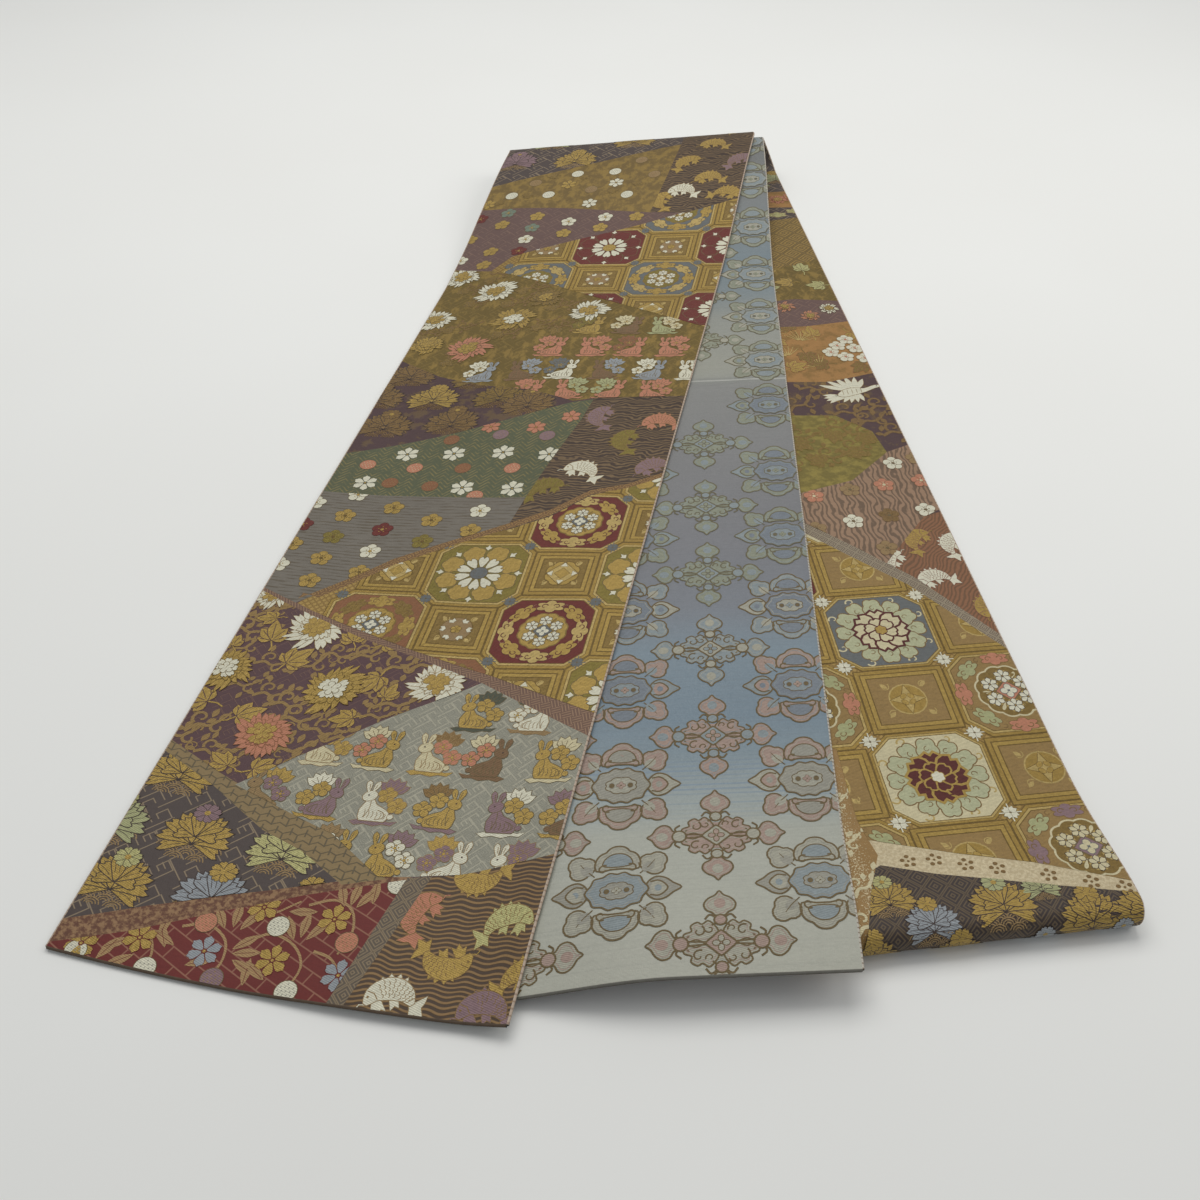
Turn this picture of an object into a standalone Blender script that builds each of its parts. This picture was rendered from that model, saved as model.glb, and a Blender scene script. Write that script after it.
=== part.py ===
"""An obi sash lying folded on a flat surface, in metres, +Z up.

The sash is one long double strip: figured brocade on its face and a patterned
lining on its back, sewn together along both selvedges. It is folded in four
stretches that fan out towards the near end (-Y):

    left stretch    brocade up, on top of the pile
    far outer fold  brocade outside, tall and springy
    bottom stretch  brocade down, under everything (hidden)
    near fold       brocade outside, a soft roll
    right stretch   brocade up
    far inner fold  lining outside, inside the outer fold
    middle stretch  lining up, between the left and the right stretch

Every visible stretch is two sewn walls, brocade and lining. The hidden bottom
stretch is one rounded slab with a layered edge.
"""

import math

import bpy
import numpy as np

# ---------------------------------------------------------------- sizes, metres
WIDTH = 0.310                 # across the strip, selvedge to selvedge
CLOTH = 0.0027                # brocade, seam gap and lining together
SEAM_GAP = 0.0003             # between the brocade wall and the lining wall
NODE_GAP = 0.0003             # between two pieces of the same cloth along the strip
AIR = 0.0013                  # loose air between two stretches that lie on each other
REST = 0.00025                # clearance between the surface and the lining that lies on it

ORIGIN_X, ORIGIN_Y = -0.0031, 0.9587   # middle of the pile's outline in the folding plan

# Folding plan: where each stretch starts and stops, near edge and far edge.
#  stretch   near left x,y     near right x,y    far left x,y      far right x,y
PLAN = {
    "left":   ((-0.3590, 0.3950), (-0.0555, 0.3375), (-0.1195, 1.5300), (0.2046, 1.5530)),
    "middle": ((-0.1470, 0.3525), (0.1629, 0.3661), (-0.0941, 1.5280), (0.2165, 1.5520)),
    "right":  ((0.0518, 0.3830), (0.3525, 0.4190), (-0.0714, 1.5280), (0.2375, 1.5520)),
    "bottom": ((0.0518, 0.3830), (0.3525, 0.4190), (-0.1195, 1.5300), (0.2046, 1.5530)),
}
LEFT_END_BOW = 0.006          # the left stretch's near end bows forward in its middle

# Heights of the cloth's middle surface.
FLOOR_MID = REST + CLOTH / 2          # a stretch that lies on the surface
RIGHT_MID = 0.0055                    # the right stretch, on the bottom stretch
NEAR_ROLL_TOP = 0.0200                # the near fold's top
NEAR_ROLL_FADE = 0.150                # how far the roll fades into the right stretch
#  stretch   far end height at left, at right, rise starts at y, ends at y
RISE = {
    "left":   (0.0430, 0.0570, 1.230, 1.560),
    "middle": (0.0350, 0.0510, 1.240, 1.550),
}
INNER_BULGE, OUTER_BULGE, NEAR_BULGE = 0.80, 0.92, 1.0   # fold depth over its half height

COLUMNS = 10                  # cells across a stretch
FOLD_ROWS = {"outer": 10, "inner": 8, "near": 8, "bottom": 12}
# Rows of a lying stretch, by distance from the near end: close together on the near roll
# and on the far rise, wide apart where the cloth lies nearly flat.
#  zone            from    to      rows
ROW_ZONES = (
    ("end",        0.020,  0.070,  2),
    ("roll",       0.070,  0.230,  7),
    ("flat",       0.230,  0.830,  6),
    ("rise",       0.830,  1.170,  8),
)


# ---------------------------------------------------------------- shape helpers
def smooth(low, high, value):
    t = min(max((value - low) / (high - low), 0.0), 1.0)
    return t * t * (3 - 2 * t)


def mix(a, b, t):
    return a + (b - a) * t


def plan_point(stretch, across, along):
    """Point of the folding plan: across 0..1 from left to right, along 0..1 from near to far."""
    near_left, near_right, far_left, far_right = (np.array(p) for p in PLAN[stretch])
    near = mix(near_left, near_right, across)
    if stretch == "left":
        near = near - np.array((0.0, LEFT_END_BOW * (1 - (2 * across - 1) ** 2)))
    return mix(near, mix(far_left, far_right, across), along)


def left_edge_x(stretch, y):
    """Where a stretch's left selvedge runs at this y."""
    (x0, y0), (x1, y1) = PLAN[stretch][0], PLAN[stretch][2]
    return mix(x0, x1, (y - y0) / (y1 - y0))


def far_height(stretch, across):
    low, high = RISE[stretch][:2]
    return mix(low, high, across)


def right_height(x, y):
    roll_line = mix(PLAN["right"][0][1], PLAN["right"][1][1], (x - PLAN["right"][0][0]) / (PLAN["right"][1][0] - PLAN["right"][0][0]))
    fade = 1 - smooth(0.0, NEAR_ROLL_FADE, y - roll_line)
    return mix(RIGHT_MID, NEAR_ROLL_TOP, fade * fade)


def middle_low_height(x, y):
    """The middle stretch lies on the surface at its left and climbs over the right stretch's selvedge."""
    selvedge = left_edge_x("right", y)
    on_right = smooth(selvedge - 0.150, selvedge - 0.008, x)
    near_y = max(y, 0.390)
    return mix(FLOOR_MID, right_height(x, near_y) + CLOTH + AIR, on_right)


def middle_height(across, x, y):
    rise = smooth(*RISE["middle"][2:], y)
    return mix(middle_low_height(x, y), far_height("middle", across), rise)


def left_height(across, x, y):
    """The left stretch lies on the surface at its left and climbs over the middle stretch's selvedge."""
    selvedge = left_edge_x("middle", y)
    on_middle = smooth(selvedge - 0.095, selvedge + 0.005, x)
    low = mix(FLOOR_MID, middle_low_height(x, y) + CLOTH + AIR, on_middle)
    rise = smooth(*RISE["left"][2:], y)
    return mix(low, far_height("left", across), rise)


HEIGHT = {
    "left": left_height,
    "middle": middle_height,
    "right": lambda across, x, y: right_height(x, y),
}


def stretch_row(stretch, along):
    row = []
    for i in range(COLUMNS + 1):
        across = i / COLUMNS
        x, y = plan_point(stretch, across, along)
        row.append((x, y, HEIGHT[stretch](across, x, y)))
    return row


def fold_row(lower, upper, along, outward, bulge, angle):
    """A row of a fold: angle 0 is its top, on the upper stretch's end, and pi its bottom, on the lower one's."""
    row = []
    share = (1 - math.cos(angle)) / 2
    for i in range(COLUMNS + 1):
        across = i / COLUMNS
        top = stretch_end(upper, across, along)
        bottom = stretch_end(lower, across, along)
        half = (top[2] - bottom[2]) / 2
        x, y = mix(np.array(top[:2]), np.array(bottom[:2]), share)
        y += outward * bulge * half * math.sin(angle)
        row.append((x, y, bottom[2] + half + half * math.cos(angle)))
    return row


def stretch_end(stretch, across, along):
    x, y = plan_point(stretch, across, along)
    if stretch == "bottom":
        return (x, y, CLOTH / 2)
    return (x, y, HEIGHT[stretch](across, x, y))


def spaced(count, first=0.0, last=1.0):
    return [mix(first, last, i / count) for i in range(count + 1)]


def row_shares(stretch):
    """Shares of a stretch's length at which its rows lie, the same distances for every stretch."""
    near = (PLAN[stretch][0][1] + PLAN[stretch][1][1]) / 2
    far = (PLAN[stretch][2][1] + PLAN[stretch][3][1]) / 2
    start = PLAN["left"][1][1]
    shares = [0.0]
    for _, low, high, count in ROW_ZONES:
        shares += [(start + d - near) / (far - near) for d in spaced(count, low, high)[:-1]]
    return [0.0] + [t for t in shares if 0.012 < t < 0.988] + [1.0]


# ---------------------------------------------------------------- the strip's rows
STRIP_RUN = 1.15              # a stretch's length, to turn a gap into a share of it
GAP_SHARE = NODE_GAP / STRIP_RUN


def left_rows():
    """From the near end to the far outer fold, round it and down to the bottom stretch."""
    rows = [stretch_row("left", t) for t in row_shares("left")]
    turn = spaced(FOLD_ROWS["outer"], 0.0, math.pi)[1:]
    turn[-1] -= 0.006
    return rows + [fold_row("bottom", "left", 1.0, 1, OUTER_BULGE, a) for a in turn]


def right_rows():
    """From the bottom of the near fold over the roll and along the right stretch to its far end."""
    turn = spaced(FOLD_ROWS["near"], math.pi, 0.0)[:-1]
    turn[0] -= 0.016
    rows = [fold_row("bottom", "right", 0.0, -1, NEAR_BULGE, a) for a in turn]
    return rows + [stretch_row("right", min(t, 1 - 3 * GAP_SHARE)) for t in row_shares("right")]


def middle_rows():
    """From the right stretch's far end up the inner fold and back along the middle stretch to its near end."""
    turn = spaced(FOLD_ROWS["inner"], math.pi, 0.0)[:-1]
    rows = [fold_row("right", "middle", 1.0, 1, INNER_BULGE, a) for a in turn]
    return rows + [stretch_row("middle", t) for t in reversed(row_shares("middle"))]


# ---------------------------------------------------------------- solids
def to_frame(rows):
    grid = np.array(rows, dtype=float)
    grid[..., 0] -= ORIGIN_X
    grid[..., 1] -= ORIGIN_Y
    return grid


def normals_of(grid, flip):
    along = np.gradient(grid, axis=0)
    across = np.gradient(grid, axis=1)
    normal = np.cross(across, along)
    normal /= np.linalg.norm(normal, axis=2, keepdims=True)
    return -normal if flip else normal


def wall_faces(rows, columns):
    """Faces of a closed wall whose two skins are grids of the same size, the outer one first."""
    def skin(r, c, side):
        return side * rows * columns + r * columns + c

    faces = []
    for r in range(rows - 1):
        for c in range(columns - 1):
            a, b = skin(r, c, 0), skin(r, c + 1, 0)
            d, e = skin(r + 1, c, 0), skin(r + 1, c + 1, 0)
            faces.append((a, b, e, d))
            a, b = skin(r, c, 1), skin(r, c + 1, 1)
            d, e = skin(r + 1, c, 1), skin(r + 1, c + 1, 1)
            faces.append((a, d, e, b))
    for r in range(rows - 1):
        faces.append((skin(r, 0, 0), skin(r + 1, 0, 0), skin(r + 1, 0, 1), skin(r, 0, 1)))
        last = columns - 1
        faces.append((skin(r, last, 0), skin(r, last, 1), skin(r + 1, last, 1), skin(r + 1, last, 0)))
    for c in range(columns - 1):
        faces.append((skin(0, c, 0), skin(0, c, 1), skin(0, c + 1, 1), skin(0, c + 1, 0)))
        last = rows - 1
        faces.append((skin(last, c, 0), skin(last, c + 1, 0), skin(last, c + 1, 1), skin(last, c, 1)))
    return faces


def make_object(name, points, faces, material):
    mesh = bpy.data.meshes.new(name)
    mesh.from_pydata([tuple(p) for p in points], [], faces)
    mesh.update()
    mesh.materials.append(material)
    mesh.shade_smooth()
    mesh.set_sharp_from_angle(angle=math.radians(40))
    made = bpy.data.objects.new(name, mesh)
    bpy.context.scene.collection.objects.link(made)
    return made


def make_wall(name, grid, normal, inner, outer, material):
    """A wall between two offsets of the middle surface, measured along its normals."""
    skins = np.concatenate([(grid + normal * outer).reshape(-1, 3), (grid + normal * inner).reshape(-1, 3)])
    return make_object(name, skins, wall_faces(grid.shape[0], grid.shape[1]), material)


def make_bottom(name, material):
    """The hidden stretch: a flat slab whose long edges show two rounded layers."""
    #  edge profile: how far in from the selvedge, share of the slab's height
    profile = ((0.0009, 0.00), (0.0000, 0.22), (0.0009, 0.46), (0.0009, 0.54), (0.0000, 0.78), (0.0009, 1.00))
    sections = []
    for t in spaced(FOLD_ROWS["bottom"], 2 * GAP_SHARE, 1 - 2 * GAP_SHARE):
        left, right = plan_point("bottom", 0.0, t), plan_point("bottom", 1.0, t)
        side = (right - left) / np.linalg.norm(right - left)
        ring = [(*(left + side * inset), CLOTH * share) for inset, share in profile]
        ring += [(*(right - side * inset), CLOTH * share) for inset, share in reversed(profile)]
        sections.append(ring)
    grid = to_frame(sections)
    rows, ring = grid.shape[:2]
    faces = []
    for r in range(rows - 1):
        for k in range(ring):
            n = (k + 1) % ring
            faces.append((r * ring + k, r * ring + n, (r + 1) * ring + n, (r + 1) * ring + k))
    half = ring // 2
    for k in range(half - 1):
        a, b = k, k + 1
        c, d = ring - 2 - k, ring - 1 - k
        faces.append((a, d, c, b))
        top = (rows - 1) * ring
        faces.append((top + a, top + b, top + c, top + d))
    made = make_object(name, grid.reshape(-1, 3), faces, material)
    made.data.update()
    return made


def cloth_material(name, colour, roughness):
    material = bpy.data.materials.new(name)
    material.use_nodes = True
    shader = material.node_tree.nodes["Principled BSDF"]
    shader.inputs["Base Color"].default_value = (*colour, 1.0)
    shader.inputs["Roughness"].default_value = roughness
    shader.inputs["Metallic"].default_value = 0.0
    return material


def main():
    for old in list(bpy.data.objects):
        bpy.data.objects.remove(old, do_unlink=True)

    brocade = cloth_material("brocade", (0.22, 0.15, 0.07), 0.55)
    lining = cloth_material("lining", (0.42, 0.45, 0.50), 0.50)
    hidden = cloth_material("hidden cloth", (0.18, 0.13, 0.09), 0.60)

    half, seam = CLOTH / 2, SEAM_GAP / 2

    left = to_frame(left_rows())
    up = normals_of(left, flip=False)
    make_wall("left_stretch_brocade", left, up, seam, half, brocade)
    make_wall("left_stretch_lining", left, up, -half, -seam, lining)

    right = to_frame(right_rows())
    up = normals_of(right, flip=False)
    make_wall("right_stretch_brocade", right, up, seam, half, brocade)
    make_wall("right_stretch_lining", right, up, -half, -seam, lining)

    middle = to_frame(middle_rows())
    inside = normals_of(middle, flip=False)
    make_wall("middle_stretch_brocade", middle, inside, seam, half, brocade)
    make_wall("middle_stretch_lining", middle, inside, -half, -seam, lining)

    make_bottom("bottom_stretch_hidden_layers", hidden)


main()
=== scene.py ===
"""Visual model of an obi sash that lies folded in four fanned stretches.

Each cloth is a thin shell on the surface that the folding plan gives. Everything on it is
laid out flat first, in strip coordinates: u in centimetres across the strip from its left
selvedge (0 to 31), and v in centimetres along it from the near end. The brocade's patches,
their woven grounds and the figures are drawn there by the functions below, cut to their
patch, and then carried onto the folded surface.
"""
import math
import random

import bmesh
import bpy
import numpy as np
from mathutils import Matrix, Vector
from mathutils.geometry import delaunay_2d_cdt, tessellate_polygon


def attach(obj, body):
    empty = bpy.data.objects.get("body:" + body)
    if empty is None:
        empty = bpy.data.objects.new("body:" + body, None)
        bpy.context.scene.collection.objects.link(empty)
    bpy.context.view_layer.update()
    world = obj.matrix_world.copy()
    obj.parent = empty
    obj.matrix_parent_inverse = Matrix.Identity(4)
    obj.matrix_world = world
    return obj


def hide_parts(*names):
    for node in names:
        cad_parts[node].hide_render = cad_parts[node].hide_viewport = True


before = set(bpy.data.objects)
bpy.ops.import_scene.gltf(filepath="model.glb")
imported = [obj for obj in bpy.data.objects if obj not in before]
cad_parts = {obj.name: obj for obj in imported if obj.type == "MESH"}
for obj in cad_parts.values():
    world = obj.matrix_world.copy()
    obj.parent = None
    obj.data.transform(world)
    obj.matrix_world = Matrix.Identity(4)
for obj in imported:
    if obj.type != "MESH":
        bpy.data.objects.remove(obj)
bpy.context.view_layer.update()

# ---------------------------------------------------------------- the folding plan, metres
CLOTH = 0.0027
AIR = 0.0013
REST = 0.00025
ORIGIN_X, ORIGIN_Y = -0.0031, 0.9587
#  stretch   near left x,y     near right x,y    far left x,y      far right x,y
PLAN = {
    "left":   ((-0.3590, 0.3950), (-0.0555, 0.3375), (-0.1195, 1.5300), (0.2046, 1.5530)),
    "middle": ((-0.1470, 0.3525), (0.1629, 0.3661), (-0.0941, 1.5280), (0.2165, 1.5520)),
    "right":  ((0.0518, 0.3830), (0.3525, 0.4190), (-0.0714, 1.5280), (0.2375, 1.5520)),
    "bottom": ((0.0518, 0.3830), (0.3525, 0.4190), (-0.1195, 1.5300), (0.2046, 1.5530)),
}
LEFT_END_BOW = 0.006
FLOOR_MID = REST + CLOTH / 2
RIGHT_MID = 0.0055
NEAR_ROLL_TOP = 0.0200
NEAR_ROLL_FADE = 0.150
RISE = {
    "left":   (0.0430, 0.0570, 1.230, 1.560),
    "middle": (0.0350, 0.0510, 1.240, 1.550),
}
WIDE = 31.0                                  # strip width, cm
#  stretch   length lying, cm    fold length, cm   bulge
LENGTH = {"left": 120.74, "middle": 118.19, "right": 114.52, "bottom": 115.16}
TURN = {"left": 7.4, "middle": 5.2, "right": 2.93}
BULGE = {"left": 0.92, "middle": 0.80, "right": 1.0}

# Soft ridges left by handling and storage, in object coordinates: from x,y to x,y, half width, height, metres.
RIDGES = (
    (-0.300, -0.330, -0.060, -0.400, 0.040, 0.0011),
    (-0.290, -0.130, -0.020, -0.190, 0.050, 0.0009),
    (-0.240, 0.055, 0.075, 0.020, 0.045, 0.0012),
    (-0.215, 0.190, 0.110, 0.150, 0.038, 0.0009),
    (-0.190, 0.330, 0.150, 0.300, 0.045, 0.0010),
    (0.160, -0.360, 0.330, -0.330, 0.045, 0.0010),
    (0.150, -0.170, 0.300, -0.130, 0.055, 0.0012),
    (0.140, 0.120, 0.270, 0.140, 0.045, 0.0010),
    (-0.020, -0.450, 0.120, -0.300, 0.050, 0.0008),
    (0.040, -0.230, 0.150, -0.120, 0.050, 0.0010),
)


def mix(a, b, t):
    return a + (b - a) * t


def smooth(low, high, value):
    t = np.clip((value - low) / (high - low), 0.0, 1.0)
    return t * t * (3 - 2 * t)


def plan_xy(stretch, across, along):
    (nlx, nly), (nrx, nry), (flx, fly), (frx, fry) = PLAN[stretch]
    near_x, near_y = mix(nlx, nrx, across), mix(nly, nry, across)
    if stretch == "left":
        near_y = near_y - LEFT_END_BOW * (1 - (2 * across - 1) ** 2)
    return mix(near_x, mix(flx, frx, across), along), mix(near_y, mix(fly, fry, across), along)


def left_edge_x(stretch, y):
    (x0, y0), (x1, y1) = PLAN[stretch][0], PLAN[stretch][2]
    return mix(x0, x1, (y - y0) / (y1 - y0))


def right_height(x, y):
    (x0, y0), (x1, y1) = PLAN["right"][0], PLAN["right"][1]
    fade = 1 - smooth(0.0, NEAR_ROLL_FADE, y - mix(y0, y1, (x - x0) / (x1 - x0)))
    return mix(RIGHT_MID, NEAR_ROLL_TOP, fade * fade)


def middle_low_height(x, y):
    selvedge = left_edge_x("right", y)
    on_right = smooth(selvedge - 0.150, selvedge - 0.008, x)
    return mix(FLOOR_MID, right_height(x, np.maximum(y, 0.390)) + CLOTH + AIR, on_right)


def middle_height(across, x, y):
    return mix(middle_low_height(x, y), mix(*RISE["middle"][:2], across), smooth(*RISE["middle"][2:], y))


def left_height(across, x, y):
    selvedge = left_edge_x("middle", y)
    on_middle = smooth(selvedge - 0.095, selvedge + 0.005, x)
    low = mix(FLOOR_MID, middle_low_height(x, y) + CLOTH + AIR, on_middle)
    return mix(low, mix(*RISE["left"][:2], across), smooth(*RISE["left"][2:], y))


def height(stretch, across, x, y):
    if stretch == "left":
        return left_height(across, x, y)
    if stretch == "middle":
        return middle_height(across, x, y)
    if stretch == "right":
        return right_height(x, y)
    return np.full_like(x, CLOTH / 2)


def stretch_point(stretch, across, along):
    x, y = plan_xy(stretch, across, along)
    return x, y, height(stretch, across, x, y)


def ridges(x, y):
    """How far handling has lifted the cloth at this place, the same for every layer there."""
    lift = np.zeros_like(x)
    for x0, y0, x1, y1, half, top in RIDGES:
        dx, dy = x1 - x0, y1 - y0
        length = math.hypot(dx, dy)
        along = ((x - x0) * dx + (y - y0) * dy) / length
        side = ((x - x0) * dy - (y - y0) * dx) / length
        bow = side + 0.008 * np.sin(along * 19 + x0 * 40)
        ends = smooth(-0.05, 0.06, along) * (1 - smooth(length - 0.06, length + 0.05, along))
        lift += top * ends * np.exp(-(bow / half) ** 2 * 2.2)
    return lift


def surface(stretch, u, v):
    """Middle surface of the double cloth at strip coordinates u, v (arrays, cm), in the object's frame, metres."""
    across = u / WIDE
    t = v / LENGTH[stretch]
    x, y, z = stretch_point(stretch, across, np.clip(t, 0, 1))
    if stretch in TURN:
        near = stretch == "right"
        past = -v if near else v - LENGTH[stretch]
        angle = np.clip(past / TURN[stretch], 0, 1) * math.pi
        lower = {"left": "bottom", "middle": "right", "right": "bottom"}[stretch]
        bx, by, bz = stretch_point(lower, across, np.full_like(across, 0.0 if near else 1.0))
        share = (1 - np.cos(angle)) / 2
        half = (z - bz) / 2
        on = past > 0
        fx = mix(x, bx, share)
        fy = mix(y, by, share) + (-1 if near else 1) * BULGE[stretch] * half * np.sin(angle)
        fz = bz + half + half * np.cos(angle)
        x, y, z = np.where(on, fx, x), np.where(on, fy, y), np.where(on, fz, z)
    x, y = x - ORIGIN_X, y - ORIGIN_Y
    if stretch != "bottom":
        low_fade = smooth(0.0008, 0.0030, z)
        z = z + ridges(x, y) * low_fade
        if stretch == "middle":      # the sharp crease that storage folding left across the lining
            line = v - (66.0 + 0.20 * (u - 21.0)) - 0.25 * np.sin(u * 0.7)
            z = z + 0.0007 * np.exp(-(line / 0.35) ** 2) * smooth(15, 20, u)
    return np.stack([x, y, z], axis=-1)


def on_surface(stretch, u, v, lift):
    """Points lift metres off the middle surface, towards the side that shows."""
    e = 0.02
    p = surface(stretch, u, v)
    du = surface(stretch, u + e, v) - surface(stretch, u - e, v)
    dv = surface(stretch, u, v + e) - surface(stretch, u, v - e)
    n = np.cross(du, dv)
    n /= np.maximum(np.linalg.norm(n, axis=-1, keepdims=True), 1e-12)
    return p + n * np.asarray(lift)[..., None]


# ---------------------------------------------------------------- colours (display values)
COLOURS = {
    "maroon": (108, 42, 36), "brick": (140, 98, 80), "vine": (168, 136, 94), "gold": (170, 142, 74),
    "deepgold": (132, 108, 56), "palegold": (184, 160, 100), "blue": (150, 156, 160), "salmon": (190, 128, 100),
    "white": (220, 217, 194), "mauve": (138, 112, 116), "lemon": (176, 172, 118), "leafgreen": (168, 170, 124),
    "darkgreen": (80, 84, 68), "tan": (150, 124, 84), "brown": (124, 96, 66), "darkbrown": (76, 58, 48),
    "dark": (68, 56, 52), "aubergine": (84, 58, 62), "scroll": (150, 122, 74), "cream": (208, 198, 160),
    "greyblue": (122, 124, 120), "olive": (128, 114, 52), "darkred": (88, 34, 32), "rust": (140, 94, 62),
    "teal": (116, 130, 114), "outline": (110, 94, 62), "outline2": (110, 104, 80), "celadon": (182, 184, 148), "pink": (168, 146, 134),
    "pearl": (170, 168, 152), "mist": (142, 152, 154), "dusk": (126, 134, 142), "sage": (144, 148, 130),
    "orange": (182, 128, 64), "framegold": (160, 132, 66), "frameshade": (112, 90, 44), "slate": (104, 108, 108),
    "purple": (88, 68, 72), "bronze": (128, 102, 62), "silver": (156, 154, 142), "moth": (150, 122, 72),
}
METALLIC = {"gold", "deepgold", "palegold", "framegold", "frameshade", "orange", "olive", "bronze", "lemon"}


def linear(rgb):
    out = []
    for c in rgb:
        c /= 255
        out.append(c / 12.92 if c <= 0.04045 else ((c + 0.055) / 1.055) ** 2.4)
    return out


# ---------------------------------------------------------------- drawing, centimetres
# A figure is a list of (outline, colour, level): outlines are point lists, and a higher level lies on top.
def turned(points, angle):
    c, s = math.cos(math.radians(angle)), math.sin(math.radians(angle))
    return [(x * c - y * s, x * s + y * c) for x, y in points]


def moved(points, dx, dy):
    return [(x + dx, y + dy) for x, y in points]


def put(items, x=0.0, y=0.0, size=1.0, angle=0.0, mirror=False, lift=0.0, flat=1.0):
    out = []
    for points, colour, level in items:
        if mirror:
            points = [(-px, py) for px, py in points]
        points = [(px * size, py * size) for px, py in points]
        if angle:
            points = turned(points, angle)
        out.append(([(px + x, py * flat + y) for px, py in points], colour, level + lift))
    return out


def ellipse(rx, ry, cx=0.0, cy=0.0, count=14, angle=0.0):
    ring = [(rx * math.cos(2 * math.pi * k / count), ry * math.sin(2 * math.pi * k / count)) for k in range(count)]
    return moved(turned(ring, angle), cx, cy)


def lobed(rx, ry, lobes, depth, per=6, start=0.0):
    """A closed outline of outward lobes that meet in sharp notches."""
    out = []
    for k in range(lobes * per):
        t = 2 * math.pi * k / (lobes * per)
        r = 1 - depth * (1 - abs(math.sin(lobes * t / 2)))
        out.append((rx * r * math.cos(t + start), ry * r * math.sin(t + start)))
    return out


def petal(length, width, notch=0.0, point=0.0):
    """From the origin along +y."""
    w, l = width / 2, length
    right = [(w * 0.30, l * 0.10), (w * 0.72, l * 0.38), (w, l * 0.66), (w * 0.86, l * 0.86), (w * 0.42, l * (0.98 - point * 0.1))]
    tip = [(0.0, l * (1 - notch + point * 0.16))]
    return [(0.0, 0.0)] + right + tip + [(-x, y) for x, y in reversed(right)]


def leaf_shape(length, width, bend=0.0):
    side = [(0.12, 0.38), (0.32, 0.82), (0.55, 1.0), (0.78, 0.62), (1.0, 0.0)]
    right = [(width / 2 * w + bend * t * t, length * t) for t, w in side]
    left = [(-width / 2 * w + bend * t * t, length * t) for t, w in side[:-1]]
    return [(0.0, 0.0)] + right + list(reversed(left))


def grown(points, by):
    p = np.array(points, float)
    q = np.roll(p, -1, 0)
    turn = 1.0 if (p[:, 0] * q[:, 1] - q[:, 0] * p[:, 1]).sum() > 0 else -1.0
    e = q - p
    e /= np.maximum(np.linalg.norm(e, axis=1, keepdims=True), 1e-9)
    n = np.stack([e[:, 1], -e[:, 0]], 1) * turn
    m = n + np.roll(n, 1, 0)
    k = 1 + (n * np.roll(n, 1, 0)).sum(1)
    return [tuple(r) for r in p + by * m / np.maximum(k, 0.55)[:, None]]


def edged(points, colour, edge, level, by=0.07):
    return [(grown(points, by), edge, level), (points, colour, level + 0.35)]


def curve(points, per=5):
    p = [np.array(q, float) for q in points]
    p = [2 * p[0] - p[1]] + p + [2 * p[-1] - p[-2]]
    out = []
    for i in range(1, len(p) - 2):
        for k in range(per):
            t = k / per
            a, b, c, d = p[i - 1:i + 3]
            out.append(0.5 * (2 * b + (c - a) * t + (2 * a - 5 * b + 4 * c - d) * t * t + (3 * b - a - 3 * c + d) * t ** 3))
    out.append(p[-2])
    return [tuple(q) for q in out]


def ribbon(points, width, colour, level, end=None, closed=False):
    """A drawn line of this width, tapering to end, as short pieces."""
    p = np.array(points, float)
    d = np.gradient(p, axis=0)
    if closed:
        d = np.roll(p, -1, 0) - np.roll(p, 1, 0)
    d /= np.maximum(np.linalg.norm(d, axis=1, keepdims=True), 1e-9)
    n = np.stack([-d[:, 1], d[:, 0]], 1)
    count = len(p)
    w = np.linspace(width, width if end is None else end, count)[:, None] / 2
    a, b = p + n * w, p - n * w
    items = []
    for i in range(count if closed else count - 1):
        j = (i + 1) % count
        items.append(([tuple(b[i]), tuple(b[j]), tuple(a[j]), tuple(a[i])], colour, level))
    return items


def curl(x, y, radius, start, sweep, width, colour, level, tight=0.25, per=12):
    pts = []
    for k in range(per + 1):
        t = k / per
        r = radius * (1 - (1 - tight) * t)
        a = math.radians(start + sweep * t)
        pts.append((x + r * math.cos(a), y + r * math.sin(a)))
    return ribbon(pts, width, colour, level, end=width * 0.6)


def plum(colour, edge="outline", r=0.95, centre="gold"):
    items = []
    for k in range(5):
        a = math.radians(90 + 72 * k)
        items += edged(ellipse(0.42 * r, 0.42 * r, 0.56 * r * math.cos(a), 0.56 * r * math.sin(a), 10), colour, edge, 0.9 * (k % 3), 0.05)
    items.append((ellipse(0.17 * r, 0.17 * r, count=8), centre, 3.2))
    for k in range(5):
        a = math.radians(90 + 72 * k)
        items.append((ellipse(0.06, 0.06, 0.36 * r * math.cos(a), 0.36 * r * math.sin(a), 6), centre, 3.2))
    return items


def sixflower(colour, edge="outline", r=0.9, centre="gold"):
    items = []
    for k in range(6):
        items += put(edged(moved(petal(0.92 * r, 0.66 * r, point=0.5), 0, 0.14 * r), colour, edge, 0.0, 0.035), angle=60 * k, lift=0.8 * (k % 2))
    items.append((ellipse(0.2 * r, 0.2 * r, count=8), edge, 2.0))
    items.append((ellipse(0.11 * r, 0.11 * r, count=6), centre, 2.5))
    return items


def ball(colour, shade="tan", r=0.7):
    items = edged(ellipse(r, r, count=16), colour, "outline", 0.0, 0.05)
    for row in range(-2, 3):
        for k in range(-2, 3):
            x, y = (k + 0.5 * (row % 2)) * 0.27 * r / 0.7, row * 0.24 * r / 0.7
            if x * x + y * y < (0.78 * r) ** 2:
                items.append((ellipse(0.035, 0.085, x, y, 6, angle=-25), shade, 1.0))
    return items


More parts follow.
